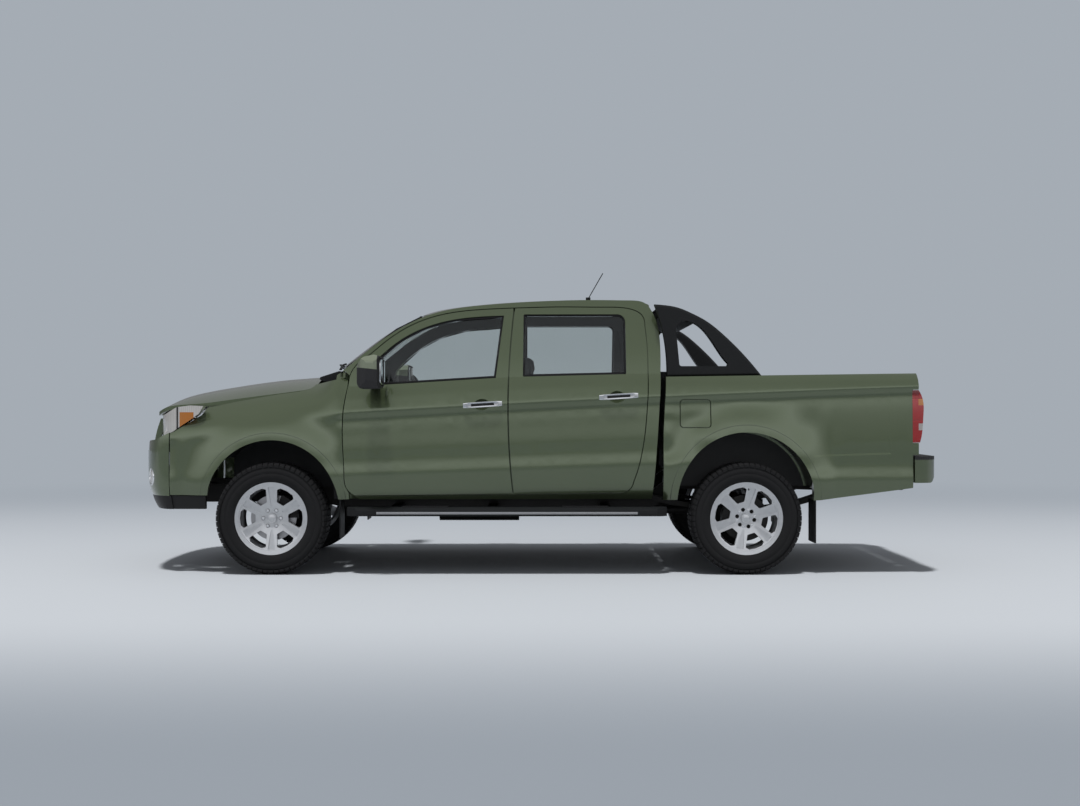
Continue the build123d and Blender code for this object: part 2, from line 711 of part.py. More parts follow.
def make_headlamp():
    n, f = nose_x, front_axle_x
    pts = [(n + 498, -808), (n + 400, -794), (n + 300, -752), (n + 205, -660), (n + 150, -526)]
    outer = Spline(*pts)
    inner = Spline(*[(x + 60, y * 0.93 + 10) for x, y in reversed(pts)])
    band = plan_prism(make_face(Wire([outer, Line(outer @ 1, inner @ 0), inner, Line(inner @ 1, outer @ 0)])), 820, 1120)
    shape = outline(
        [(f - 454, 1094), (f - 543, 1098), (f - 642, 1087), (f - 723, 1049), (n + 130, 1012), (n + 90, 868), (f - 785, 880),
         (f - 667, 929), (f - 560, 993), (f - 485, 1043)]
    )
    lamp = (band & side_prism(shape)) - plan_prism(grown(hood_plan(), panel_gap), 1000, 1400)
    lamp -= block(n, n + 400, -526, 0, 700, 1200)
    return lamp + block(n + 200, n + 250, -680, -600, 830, 930)


def hood_half(x):
    """Half the hood's width: straight beside the wings, narrowing between the headlamps."""
    n = nose_x
    return through((n + 95, 500), (n + 170, 590), (n + 300, 652), (n + 470, 686), (n + 1190, 692))(x)


def hood_skin_z(x, y):
    t = min(1.2, abs(y) / 700)
    return hood_mid_z(x) - (hood_mid_z(x) - hood_edge_z(x)) * t ** 2.6


def hood_plan():
    n, f = nose_x, front_axle_x
    edge = spread(n + 130, f + 262, 10)
    left = Spline(*[(x, -hood_half(x)) for x in edge])
    right = Spline(*[(x, hood_half(x)) for x in reversed(edge)])
    front = Spline(right @ 1, (n + 110, 260), (n + 102, 0), (n + 110, -260), left @ 0)
    back = Line(left @ 1, right @ 0)
    face = make_face(Wire([left, back, right, front]))
    return fillet(face.vertices().sort_by(Axis.X)[-2:], 75)


def make_hood():
    n, f = nose_x, front_axle_x
    xs = spread(n + 90, f + 300, 18)
    rows = [[(x, y, hood_skin_z(x, y)) for y in spread(-740, 740, 15)] for x in xs]
    panel = extrude(skin(rows), amount=24, dir=(0, 0, -1))
    return panel & plan_prism(hood_plan(), 900, 1400)


# ---------------------------------------------------------------- load bed
flap = (rear_axle_x - 425, rear_axle_x - 233, 957, 1133)


def make_bed_side(flap_side=False):
    a = rear_axle_x
    x0, x1 = bed_front_x, bed_rear_x
    wall = bed_outer_wall(0, bed_wall)
    top = Line((x0, rail_z(x0)), (x1, rail_z(x1)))
    foot = Polyline(
        top @ 1, (x1, 775), (x1 - 37, 775), (x1 - 37, 560), (a + 480, 480), (x0 - 44, sill_z - 5), top @ 0
    )
    wall = wall & side_prism(make_face(Wire([top, *foot.edges()])))
    wall -= bar_y(a, rear_arch_z, -1300, 0, rear_arch_r)
    wall -= block(bed_rear_x - 40 - seat_gap, bed_rear_x + 50, -1300, 0, 853, 1201)
    house = bar_y(a, rear_arch_z, -840, -560, rear_arch_r + 14) - bar_y(a, rear_arch_z, -900, -574, rear_arch_r)
    wall += house & block(a - 600, a + 600, -845, -500, 560, 1000)
    if flap_side:
        g = panel_gap
        x0, x1, z0, z1 = flap
        pocket = outline([(x0 - g, z0 - g), (x1 + g, z0 - g), (x1 + g, z1 + g), (x0 - g, z1 + g)], {0: 26, 1: 26, 2: 26, 3: 26})
        wall -= side_prism(pocket, -1300, 45 - side_y(flap[0], 1000))
    return wall


def make_bed_floor():
    """Load floor with its cross bearers and the board at the front of the bed."""
    a = rear_axle_x
    x0, x1 = bed_front_x + 2, bed_rear_x - 66
    half = 850
    floor = block(x0, x1, -half, half, bed_floor_z - 22, bed_floor_z)
    for side in (-1, 1):
        y0, y1 = sorted((side * 559.7, side * 900))
        floor -= bar_y(a, rear_arch_z, y0, y1, rear_arch_r + 14 + seat_gap)
    board = block(x0, x0 + 34, -half, half, bed_floor_z, rail_front_z - 6)
    wall = bed_outer_wall(-150, 150 + bed_wall + seat_gap)
    bearers = [block(x, x + 90, -420, 420, 648.3, bed_floor_z - 22) for x in (x0 + 60, a - 60, x1 - 160)]
    whole = floor + board - wall - mirrored(wall)
    whole += block(x0 + 60, x1 - 20, -530, 530, bed_floor_z, bed_floor_z + floor_field)
    for bearer in bearers:
        whole += bearer
    return whole


def make_tailgate():
    """Tailgate: a hollow-looking pressed panel with a rolled top edge, a sunk field and a pocket for its handle."""
    x1 = bed_rear_x
    back = Spline((x1 - 4, 806), (x1, 900), (x1 + 2, 1050), (x1, 1200), (x1 - 8, 1284))
    top = Spline(back @ 1, (x1 - 18, 1298), (x1 - 36, 1301), (x1 - 54, 1296), (x1 - 60, 1284))
    rest = Polyline(top @ 1, (x1 - 60, 806), back @ 0)
    gate = side_prism(make_face(Wire([back, top, *rest.edges()])), -gate_half_width, gate_half_width)
    field = outline([(-560, 880), (560, 880), (560, 1120), (-560, 1120)], {0: 30, 1: 30, 2: 30, 3: 30})
    plane = Plane(origin=(x1 - 8, 0, 0), x_dir=(0, 1, 0), z_dir=(1, 0, 0))
    gate -= extrude(plane * field, amount=60, taper=-20)
    pocket = outline([(-95, 1150), (95, 1150), (95, 1232), (-95, 1232)], {0: 20, 1: 20, 2: 20, 3: 20})
    plane = Plane(origin=(x1 - 24, 0, 0), x_dir=(0, 1, 0), z_dir=(1, 0, 0))
    return gate - extrude(plane * pocket, amount=60)


def make_tail_lamp():
    """Upright lamp let into the bed side's rear corner, its back edge bowed."""
    x0, x1 = bed_rear_x - 40, bed_rear_x + 34
    lamp = lower_wall(x0 - 60, x1 + 30, 0, bed_wall - 2, top=rail_z)
    back = Spline((x1 - 26, 856), (x1 - 10, 930), (x1 - 4, 1010), (x1, 1090), (x1 - 8, 1150), (x1 - 34, 1198))
    rest = Polyline(back @ 1, (x0, 1198), (x0, 856), back @ 0)
    return lamp & side_prism(make_face(Wire([back, *rest.edges()])))


def make_rear_bumper():
    """Step bumper: a bar wrapped round the tail, with a flat tread on top."""
    x0, x1 = bed_rear_x - 30, tail_x
    back = Spline((x0, -842), (x1 - 70, -828), (x1 - 22, -780), (x1 - 4, -600), (x1, 0), (x1 - 4, 600), (x1 - 22, 780), (x1 - 70, 828), (x0, 842))
    rest = Polyline(back @ 1, (x0, 760), (x0 + 40, 700), (x0 + 40, -700), (x0, -760), back @ 0)
    bar = plan_prism(make_face(Wire([back, *rest.edges()])), 594, 767)
    side = outline([(x0 - 10, 594), (x1 - 40, 594), (x1 + 1, 650), (x1 + 1, 767), (x0 - 10, 767)], {1: 30, 2: 30, 3: 14})
    return bar & side_prism(side, -1300, 1300)


def sports_bar_face():
    """The bar's side frame in side view: upright behind the cab, sloping down on to the rail."""
    f = front_axle_x
    sweep = Spline(
        (f + 2496, 1762), (f + 2562, 1757), (f + 2650, 1741), (f + 2745, 1702), (f + 2832, 1656), (f + 2951, 1562),
        (f + 3086, 1428), (f + 3198, rail_z(f + 3198) + seat_gap)
    )
    upright = Spline(
        (f + 2580, rail_z(f + 2580) + seat_gap), (f + 2577, 1400), (f + 2567, 1500), (f + 2546, 1610), (f + 2496, 1762)
    )
    foot = Line(sweep @ 1, upright @ 0)
    return make_face(Wire([sweep, foot, upright]))


def sports_bar_hole():
    f = front_axle_x
    slope = Spline((f + 2672, 1654), (f + 2752, 1640), (f + 2868, 1526), (f + 2980, 1372))
    rest = Polyline(slope @ 1, (f + 2975, 1356), (f + 2660, 1356), (f + 2636, 1600), slope @ 0)
    face = make_face(Wire([slope, *rest.edges()]))
    for corner in ((f + 2660, 1356), (f + 2636, 1600)):
        face = fillet(face.vertices().sort_by_distance((*corner, 0))[0], 16)
    return face


def make_sports_bar():
    """Styling bar behind the cab: two rounded side frames, each with a three-cornered hole, and a hoop across."""
    f = front_axle_x
    frame = side_prism(sports_bar_face(), -778, -698)
    frame = fillet(frame.edges().filter_by(lambda e: e.length > 500 and abs(e.center().Y) > 690), 16)
    frame -= side_prism(sports_bar_hole(), -900, -600)
    across = side_prism(outline([(f + 2540, 1690), (f + 2760, 1640), (f + 2745, 1698), (f + 2650, 1738), (f + 2530, 1752)]), -700, 700)
    return frame + across + mirrored(frame)


# ---------------------------------------------------------------- wheels
def turned(points):
    """A ring turned from (outboard, radius) corners, about the local X axis."""
    face = make_face(Polyline(*points, close=True))
    return revolve(face, axis=Axis.X)


def placed_wheel(shape, x, angle=0.0):
    """Local X becomes the outboard direction of a left wheel."""
    return Pos(x, -wheel_y, tyre_radius) * Rot(0, 0, -90) * Rot(angle, 0, 0) * shape


def make_tyre():
    h = tyre_width / 2
    r = tyre_radius
    bead = rim_flange_r
    side = [(91.5, bead + 2), (h - 3, bead + 30), (h, bead + 62), (h - 8, r - 34), (h - 24, r - 12), (h - 56, r - 3)]
    outer = Spline(*side, (0, r), *[(-u, v) for u, v in reversed(side)])
    inside = [(78, 219.2), (80, 240), (h - 15, bead + 52), (h - 20, r - 44), (h - 38, r - 23), (h - 66, r - 14)]
    inner = Spline(*[(-u, v) for u, v in inside], (0, r - 13), *reversed(inside))
    foot0 = Polyline(outer @ 1, (-91.5, 219.2), inner @ 0)
    foot1 = Polyline(inner @ 1, (91.5, 219.2), outer @ 0)
    face = make_face(Wire([outer, *foot0.edges(), inner, *foot1.edges()]))
    return revolve(face, axis=Axis.X)


def make_rim():
    """Cast wheel: barrel, hub and six grooved spokes that widen towards the rim, local frame."""
    barrel = turned(
        [(104, 236), (96, 236), (92, 218.7), (60, 218.7), (40, 200), (-40, 200), (-60, 218.7), (-92, 218.7), (-96, 236),
         (-104, 236), (-102, 211), (-60, 209), (-42, 192), (38, 192), (60, 208), (100, 210)]
    )
    face = turned([(44, 0), (44, 86), (58, 200), (60, 212), (92, 212), (88, 196), (74, 110), (66, 62), (64, 30), (70, 27), (70, 0)])
    window = make_face(Polyline((-24, 106), (24, 106), (62, 180), (44, 199), (0, 204), (-44, 199), (-62, 180), close=True))
    window = fillet(window.vertices(), 9)
    groove = make_face(Polyline((-7, 78), (7, 78), (24, 203), (-24, 203), close=True))
    groove = fillet(groove.vertices(), 5)
    floor = turned([(56, 0), (66, 90), (77, 204), (77, 230), (120, 230), (120, 0)])
    for k in range(spokes):
        turn = Rot(360 / spokes * k, 0, 0)
        face -= turn * Rot(180 / spokes, 0, 0) * extrude(Plane.YZ * window, amount=200)
        face -= turn * (extrude(Plane.YZ * groove, amount=200) & floor)
        face -= turn * Rot(180 / spokes, 0, 0) * (Pos(50, 0, 57) * Rot(0, 90, 0) * Cylinder(13, 60))
    return barrel + face


def make_disc():
    return turned([(18, 78), (18, 148), (-6, 148), (-6, 78)]) + turned([(43.7, 0), (43.7, 78), (12, 78), (12, 60), (30, 60), (30, 0)])


def make_knuckle():
    """Steering knuckle with its bearing and the brake caliper behind the axle, left wheel, local frame."""
    upright = block(-75, -40, -35, 35, -98, 134)
    stub = Pos(-28, 0, 0) * Rot(0, 90, 0) * Cylinder(52, 34) + Pos(-0.15, 0, 0) * Rot(0, 90, 0) * Cylinder(26, 59.7)
    caliper = make_face(Polyline((-30, 92), (-30, 158), (30, 158), (30, 100), (24, 100), (24, 153.5), (-12, 153.5), (-12, 92), close=True))
    body = revolve(caliper, axis=Axis.X, revolution_arc=70)
    bracket = block(-75, -20, -35, 150, -10, 40) & revolve(
        make_face(Polyline((-80, 0), (-80, 150), (-15, 150), (-15, 0), close=True)), axis=Axis.X
    )
    return upright + stub + body + bracket


# ---------------------------------------------------------------- frame and running gear
def make_chassis():
    f, a = front_axle_x, rear_axle_x
    top = [(f - 780, 560), (f + 230, 560), (f + 390, 528), (a - 560, 528), (a - 400, 648), (a + 320, 648), (a + 560, 640), (bed_rear_x + 9.7, 640)]
    bottom = [(x, z - 120) for x, z in reversed(top)]
    rail = side_prism(outline(top + bottom), -400, -330)
    frame = rail + mirrored(rail)
    crossmembers = (
        (-700, 445, 505), (-330, 442, 469.7), (800, 404, 419.7), (1700, 482, 505), (2450, 475, 520), (3650, 545, 605), (4020, 545, 605)
    )
    for x, z0, z1 in crossmembers:
        frame += block(f + x, f + x + 80, -335, 335, z0, z1)
    frame += block(f - 170, f + 170, -400, -310, 222, 445) + block(f - 170, f + 170, 310, 400, 222, 445)
    frame += block(f - 150, f + 150, -320, 320, 222, 244)
    return frame


def make_drivetrain():
    """Engine and gearbox as plain blocks, and the shaft back to the rear axle."""
    f, a = front_axle_x, rear_axle_x
    engine = block(f - 330, f + 330, -230, 230, 470, 1080)
    gearbox = block(f + 330, f + 950, -130, 130, 420, 525)
    shaft = rod((f + 945, 0, 470), (a - 172, 0, tyre_radius + 20), 38)
    return engine + gearbox + shaft


def make_rear_axle():
    a = rear_axle_x
    tube = bar_y(a, tyre_radius, -640, 640, 42) + bar_y(a, tyre_radius, -(wheel_y + 31.7), wheel_y + 31.7, 28)
    pot = Pos(a, 0, tyre_radius) * Sphere(128)
    nose = rod((a - 170, 0, tyre_radius + 15), (a, 0, tyre_radius), 62)
    whole = tube + pot + nose
    for y0 in (-640, 610):
        whole += bar_y(a, tyre_radius, y0, y0 + 30, 60)
    return whole


def make_drum():
    """Rear brake drum, local wheel frame."""
    return turned([(43.7, 0), (43.7, 80), (36, 150), (-60, 150), (-60, 140), (32, 140), (32, 0)])


def make_wishbones():
    """Lower and upper arms of the left front wheel, with the spring strut between them."""
    f = front_axle_x
    shapes = []
    for z, reach, half in ((240, 150, 25.7), (498.3, 120, 16)):
        ys = -(wheel_y - 30)
        arm = outline([(f - 28, ys), (f + 28, ys), (f + 34, ys + 120), (f + reach, -400 - seat_gap), (f - reach, -400 - seat_gap), (f - 34, ys + 120)])
        hole = outline([(f - 12, ys + 150), (f + 12, ys + 150), (f + reach - 60, -430), (f - reach + 60, -430)])
        shapes.append(plan_prism(arm, z, z + half) - plan_prism(hole, z - 10, z + half + 10))
    return shapes


def make_leaf_springs():
    a = rear_axle_x
    spring = Spline((a - 660, 520), (a - 300, 435), (a, 412), (a + 300, 435), (a + 660, 560))
    under = Spline((a + 660, 532), (a + 300, 407), (a, tyre_radius + 42 + seat_gap), (a - 300, 407), (a - 660, 492))
    face = make_face(Wire([spring, Line(spring @ 1, under @ 0), under, Line(under @ 1, spring @ 0)]))
    return side_prism(face, -480, -400 - seat_gap)


def make_seat(y0, y1, x, foot, back_lean=0.32):
    """One seat: cushion and backrest as plain rounded blocks, the cushion first."""
    cushion = block(x, x + 500, y0, y1, 700, 860)
    cushion = fillet(cushion.edges(), 40)
    back = Pos(x + 480, (y0 + y1) / 2, 1100) * Rot(0, math.degrees(back_lean), 0) * Box(130, y1 - y0 - 10, 600)
    back = fillet(back.edges(), 40)
    base = block(x + 60, x + 420, y0 + 50, y1 - 50, foot, 720)
    return cushion + back + base


def make_dashboard():
    f = front_axle_x
    face = make_face(Polyline((f + 430.3, 900), (f + 430.3, 1215), (f + 560, 1228), (f + 760, 1190), (f + 840, 1120), (f + 800, 960), (f + 640, 880), close=True))
    return side_prism(face, -620, 620)


def make_steering_wheel():
    f = front_axle_x
    wheel = Torus(182, 15) + Pos(0, 0, -20) * Cylinder(60, 30)
    for k in range(3):
        wheel += Rot(0, 0, 90 + 120 * k) * Pos(95, 0, -12) * Box(175, 34, 12)
    column = Pos(0, 0, -130) * Cylinder(24, 200)
    return Pos(f + 960, -370, 1130) * Rot(0, 62, 0) * (wheel + column)


def make_mirror():
    """Door mirror: a rounded housing on a foot at the window's front corner, with the glass let into its back."""
    x, z = front_axle_x + 664, 1310
    outer = Spline((x - 62, -930), (x - 84, -990), (x - 70, -1075), (x - 20, -1112), (x + 50, -1100))
    rest = Polyline(outer @ 1, (x + 74, -1060), (x + 74, -905), (x - 20, -905), outer @ 0)
    shell = plan_prism(make_face(Wire([outer, *rest.edges()])), z - 108, z + 112)
    side = outline([(x - 90, z - 60), (x - 60, z - 108), (x + 76, z - 104), (x + 76, z + 96), (x + 30, z + 112), (x - 40, z + 96), (x - 84, z + 40)],
                   {0: 30, 1: 40, 2: 26, 3: 22, 4: 30, 5: 40, 6: 30})
    shell = shell & side_prism(side, -1300, -800)
    front = make_face(Polyline((-1112, z - 60), (-1080, z - 108), (-940, z - 108), (-900, z - 70), (-900, z + 60), (-930, z + 100), (-1060, z + 112), (-1112, z + 70), close=True))
    front = fillet(front.vertices(), 24)
    plane = Plane(origin=(-3000, 0, 0), x_dir=(0, 1, 0), z_dir=(1, 0, 0))
    shell = shell & extrude(plane * front, amount=4000)
    shell -= plan_prism(make_face(Polyline((x + 66, -1085), (x + 90, -1085), (x + 90, -925), (x + 66, -925), close=True)), z - 86, z + 82)
    foot = block(x - 30, x + 34, -915, -700, z - 84, z - 30)
    wall = lower_wall(x - 260, x + 260, -seat_gap, 300)
    pane = upper_wall(x - 260, x + 260, -seat_gap, 300)
    return shell + (foot - wall - (pane & side_prism(above(lambda u: belt_z(u) - 60, x - 280, x + 280))))


def make_side_step():
    """Running board under the doors on three brackets from the frame."""
    f = front_axle_x
    x0, x1 = f + 490, f + 2570
    step = block(x0, x1, -900, -742, 380, 436)
    step = fillet(step.edges().filter_by(Axis.X), 20)
    ends = plan_prism(outline([(x0, -742), (x0, -850), (x0 + 70, -900), (x1 - 70, -900), (x1, -850), (x1, -742)]), 300, 500)
    step = step & ends
    for x in (f + 760, f + 1400, f + 2150):
        step += block(x, x + 60, -760, -400 - seat_gap, 396, 430)
    return step


def make_mud_flap(x, z0, z1, y0, y1):
    return block(x, x + 8, y0, y1, z0, z1)


def make_arch_liner():
    """Front wheel arch liner: a shell over the wheel and the apron beside the frame rail."""
    f = front_axle_x
    x0, x1 = f - 330, f + 374
    r = front_arch_r + 18
    shell = bar_y(f, front_arch_z, -1000, -456, r + 8) - bar_y(f, front_arch_z, -1100, -400, r)
    shell = shell & block(x0, x1, -1100, 0, 560, 1200)
    shell -= wing_wall(-150, 150 + fender_thickness + seat_gap)
    apron = block(x0, x1, -464, -456, 545, 900) & bar_y(f, front_arch_z, -1000, 0, r + 8)
    foot = block(x0, f + 220, -464, -345, 560.3, 568)
    return shell + apron + foot


def make_exhaust():
    """Exhaust pipe with its silencer, on the left inside the frame."""
    f, a = front_axle_x, rear_axle_x
    pipe = rod((f + 400, -240, 375.7), (a - 260, -240, 375.7), 28)
    silencer = rod((f + 1050, -240, 375.7), (f + 1600, -240, 375.7), 75)
    return pipe + silencer


def make_fuel_flap():
    x0, x1, z0, z1 = flap
    lid = lower_wall(x0 - 60, x1 + 60, 0, 12, top=rail_z)
    return lid & side_prism(outline([(x0, z0), (x1, z0), (x1, z1), (x0, z1)], {0: 20, 1: 20, 2: 20, 3: 20}))


def make_aerial():
    """Short rod aerial on a rounded foot near the roof's left edge."""
    x, y = front_axle_x + 2073, -430
    z = roof_skin_z(x, y)
    foot = Pos(x, y, z + 4) * Cylinder(16, 26)
    foot -= roof_slab(200, seat_gap)
    return foot + rod((x, y, z + 8), (x + 100, y, aerial_top_z), 3)


def main():
    f, a = front_axle_x, rear_axle_x
    save_pair("cab_side", make_cab_side())
    save_pair("front_door", make_door(front_door_outline(), front_window_outline(), door_front_x, post_x, front_handle))
    save_pair("rear_door", make_door(rear_door_outline(), rear_window_outline(), post_x, rear_door_x, rear_handle))
    save_pair("front_door_glass", make_pane(front_window_outline(), f + 560, post_x))
    save_pair("rear_door_glass", make_pane(rear_window_outline(), post_x, rear_door_x))
    save("roof", make_roof())
    save("windscreen", make_windscreen())
    save("cab_floor", make_cab_floor())
    wall, pane = make_cab_back()
    save("cab_back", wall)
    save("rear_window", pane)
    save("cowl", make_cowl())
    save_pair("wing", make_wing())
    save("front_bumper", make_front_bumper())
    save("grille", make_grille(), make_valance())
    save("headlamps", *both(make_headlamp()))
    save("hood", make_hood())
    save("bed_side_left", make_bed_side(True))
    save("bed_side_right", mirrored(make_bed_side()))
    save("fuel_flap", make_fuel_flap())
    save("bed_floor", make_bed_floor())
    save("tailgate", make_tailgate())
    save("tail_lamps", *both(make_tail_lamp()))
    save("rear_bumper", make_rear_bumper())
    save("sports_bar", make_sports_bar())
    for name, x, angle in (("front", f, 0), ("rear", a, -12)):
        save_pair("tyre_" + name, placed_wheel(make_tyre(), x))
        save_pair("rim_" + name, placed_wheel(make_rim(), x, angle))
    save_pair("brake_disc", placed_wheel(make_disc(), f))
    save_pair("knuckle", placed_wheel(make_knuckle(), f))
    save_pair("brake_drum", placed_wheel(make_drum(), a))
    save("chassis", make_chassis())
    save("drivetrain", make_drivetrain())
    save("rear_axle", make_rear_axle())
    arms = [s for arm in make_wishbones() for s in both(arm)]
    save("suspension", *arms, *both(make_leaf_springs()))
    save("front_seats", *both(make_seat(-622, -160, f + 1040, cab_floor_z + 18.3)))
    save("rear_seat", make_seat(-610, 610, f + 1840 + 40, 700.3, 0.2))
    save("dashboard", make_dashboard())
    save("steering_wheel", make_steering_wheel() - make_dashboard())
    save_pair("mirror", make_mirror())
    save("side_steps", *both(make_side_step()))
    flaps = [make_mud_flap(f + 434, 230, 484.7, -800, -620), make_mud_flap(a + 450, 200, 479.7, -835, -620)]
    save("mud_flaps", *flaps, *[mirrored(s) for s in flaps])
    save("arch_liners", *both(make_arch_liner()))
    save("fuel_tank", block(f + 1820, f + 2400, 90, 329.7, 330, 520))
    save("exhaust", make_exhaust())
    save("aerial", make_aerial())


main()
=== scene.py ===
import math

import bmesh
import bpy
from mathutils import Matrix, Vector


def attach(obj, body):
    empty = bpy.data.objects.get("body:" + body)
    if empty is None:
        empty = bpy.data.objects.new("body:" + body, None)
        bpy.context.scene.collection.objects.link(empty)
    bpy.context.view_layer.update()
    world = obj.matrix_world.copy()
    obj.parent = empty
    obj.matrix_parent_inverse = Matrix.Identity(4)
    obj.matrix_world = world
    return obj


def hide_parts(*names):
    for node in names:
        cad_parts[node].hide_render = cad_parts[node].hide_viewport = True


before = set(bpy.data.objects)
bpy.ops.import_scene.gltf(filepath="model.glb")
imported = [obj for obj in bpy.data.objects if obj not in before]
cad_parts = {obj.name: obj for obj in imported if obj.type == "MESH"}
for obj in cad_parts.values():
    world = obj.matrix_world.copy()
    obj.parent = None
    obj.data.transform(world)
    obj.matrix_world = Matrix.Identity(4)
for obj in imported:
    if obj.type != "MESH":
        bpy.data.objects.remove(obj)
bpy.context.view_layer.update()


# ---------------------------------------------------------------- studio
# A small sun shines down from high over the truck, a little towards the viewer, so the
# shadow falls under and just behind it. The floor is one flat sheet of paper, which the camera
# sees fade into the grey-blue backdrop far out. Its colour holds a painted pool of light: pale
# in a band round the truck, grey-blue further out.
class Wire:
    """One socket in a material. Plain arithmetic on it adds Math nodes."""

    def __init__(self, finish, socket):
        self.finish = finish
        self.socket = socket

    def math(self, operation, *values):
        inputs = dict(enumerate(values))
        return self.finish.node("ShaderNodeMath", {"operation": operation}, inputs)

    def larger(self, other):
        return self.math("MAXIMUM", self, other)

    def smaller(self, other):
        return self.math("MINIMUM", self, other)

    def wave(self):
        return self.math("SINE", self)

    def __add__(self, other):
        return self.math("ADD", self, other)

    def __radd__(self, other):
        return self.math("ADD", other, self)

    def __sub__(self, other):
        return self.math("SUBTRACT", self, other)

    def __rsub__(self, other):
        return self.math("SUBTRACT", other, self)

    def __mul__(self, other):
        return self.math("MULTIPLY", self, other)

    def __rmul__(self, other):
        return self.math("MULTIPLY", other, self)

    def __pow__(self, other):
        return self.math("POWER", self, other)

    def __neg__(self):
        return self.math("MULTIPLY", self, -1)

    def __abs__(self):
        return self.math("ABSOLUTE", self)


class Finish:
    """A material built node by node."""

    def __init__(self, name):
        self.material = bpy.data.materials.new(name)
        self.material.use_nodes = True
        self.tree = self.material.node_tree
        self.tree.nodes.clear()
        self.place = self.node("ShaderNodeTexCoord", output="Object")

    def node(self, kind, settings=None, inputs=None, output=0):
        """Adds a node: its settings first, then the values or links of its sockets."""
        node = self.tree.nodes.new(kind)
        for name, value in (settings or {}).items():
            if name == "stops":
                ramp = node.color_ramp.elements
                while len(ramp) < len(value):
                    ramp.new(1)
                for stop, (position, colour) in zip(ramp, value):
                    stop.position = position
                    stop.color = (*colour, 1)
            else:
                setattr(node, name, value)
        for name, value in (inputs or {}).items():
            if isinstance(value, Wire):
                self.tree.links.new(value.socket, node.inputs[name])
            else:
                node.inputs[name].default_value = value
        return None if output is None else Wire(self, node.outputs[output])

    def axis(self, letter):
        """The object's own X, Y or Z, in metres."""
        return self.node("ShaderNodeSeparateXYZ", None, {0: self.place}, letter)

    def step(self, value, low, high):
        """0 where value is under low, 1 where it is over high, smooth between."""
        settings = {"interpolation_type": "SMOOTHSTEP"}
        return self.node("ShaderNodeMapRange", settings, {0: value, 1: low, 2: high})

    def noise(self, scale, detail=3, place=None):
        inputs = {"Vector": place or self.place, "Scale": scale, "Detail": detail}
        return self.node("ShaderNodeTexNoise", None, inputs)

    def mix(self, factor, low, high):
        low = low if isinstance(low, Wire) else (*low, 1)
        high = high if isinstance(high, Wire) else (*high, 1)
        inputs = {0: factor, 6: low, 7: high}
        return self.node("ShaderNodeMix", {"data_type": "RGBA"}, inputs, 2)

    def bump(self, height, distance, strength=1.0):
        inputs = {"Height": height, "Distance": distance, "Strength": strength}
        return self.node("ShaderNodeBump", None, inputs)

    def end(self, inputs):
        """Finishes the material with one principled surface."""
        surface = self.node("ShaderNodeBsdfPrincipled", None, inputs)
        self.node("ShaderNodeOutputMaterial", None, {"Surface": surface}, None)
        return self.material


scene = bpy.context.scene
scene.view_settings.view_transform = "Standard"

camera = bpy.data.objects.new("camera", bpy.data.cameras.new("camera"))
camera.location = (0.045, -9.575, 1.10)
camera.rotation_euler = (math.radians(90), 0, 0)
camera.data.lens = 44.75
camera.data.shift_y = 0.002
scene.collection.objects.link(camera)
scene.camera = camera

lamp = bpy.data.lights.new("high_lamp", "SUN")
lamp.energy = 3.0
lamp.angle = math.radians(5)
lamp.color = (1.0, 0.99, 0.97)
high_lamp = bpy.data.objects.new("high_lamp", lamp)
high_lamp.rotation_euler = (math.radians(12), math.radians(-4), 0)
high_lamp.visible_glossy = False
scene.collection.objects.link(high_lamp)

backdrop_colour = (0.376, 0.413, 0.457)
world = bpy.data.worlds.new("studio")
scene.world = world
world.use_nodes = True
sky = world.node_tree
sky.nodes.clear()


def sky_light(stops, strength):
    """Light that changes with height, from a few (height, level) pairs."""
    ramp = sky.nodes.new("ShaderNodeValToRGB")
    while len(ramp.color_ramp.elements) < len(stops):
        ramp.color_ramp.elements.new(1)
    for stop, (position, level) in zip(ramp.color_ramp.elements, stops):
        stop.position = position
        stop.color = (level * 0.96, level * 0.985, level * 1.03, 1)
    sky.links.new(height, ramp.inputs[0])
    light = sky.nodes.new("ShaderNodeBackground")
    light.inputs["Strength"].default_value = strength
    sky.links.new(ramp.outputs[0], light.inputs["Color"])
    return light.outputs[0]


def choose(rays, otherwise, chosen):
    switch = sky.nodes.new("ShaderNodeMixShader")
    sky.links.new(rays, switch.inputs[0])
    sky.links.new(otherwise, switch.inputs[1])
    sky.links.new(chosen, switch.inputs[2])
    return switch.outputs[0]


direction = sky.nodes.new("ShaderNodeTexCoord")
split = sky.nodes.new("ShaderNodeSeparateXYZ")
sky.links.new(direction.outputs["Generated"], split.inputs[0])
height = split.outputs["Z"]
seen = sky.nodes.new("ShaderNodeBackground")
seen.inputs["Color"].default_value = (*backdrop_colour, 1)
path = sky.nodes.new("ShaderNodeLightPath")
soft = sky_light([(0.0, 0.10), (0.35, 0.42), (1.0, 0.62)], 0.55)
near_side = sky_light([(0.0, 0.20), (0.07, 0.46), (0.24, 0.95), (0.60, 0.36)], 1.3)
far_side = sky_light([(0.0, 0.14), (0.30, 0.22), (1.0, 0.30)], 1.3)
ahead = sky.nodes.new("ShaderNodeMath")
ahead.operation = "MULTIPLY_ADD"
ahead.use_clamp = True
sky.links.new(split.outputs["Y"], ahead.inputs[0])
ahead.inputs[1].default_value = 2.5
ahead.inputs[2].default_value = 0.5
mirrored = choose(ahead.outputs[0], near_side, far_side)
shown = choose(path.outputs["Is Glossy Ray"], soft, mirrored)
shown = choose(path.outputs["Is Transmission Ray"], shown, seen.outputs[0])
shown = choose(path.outputs["Is Camera Ray"], shown, seen.outputs[0])
output = sky.nodes.new("ShaderNodeOutputWorld")
sky.links.new(shown, output.inputs["Surface"])

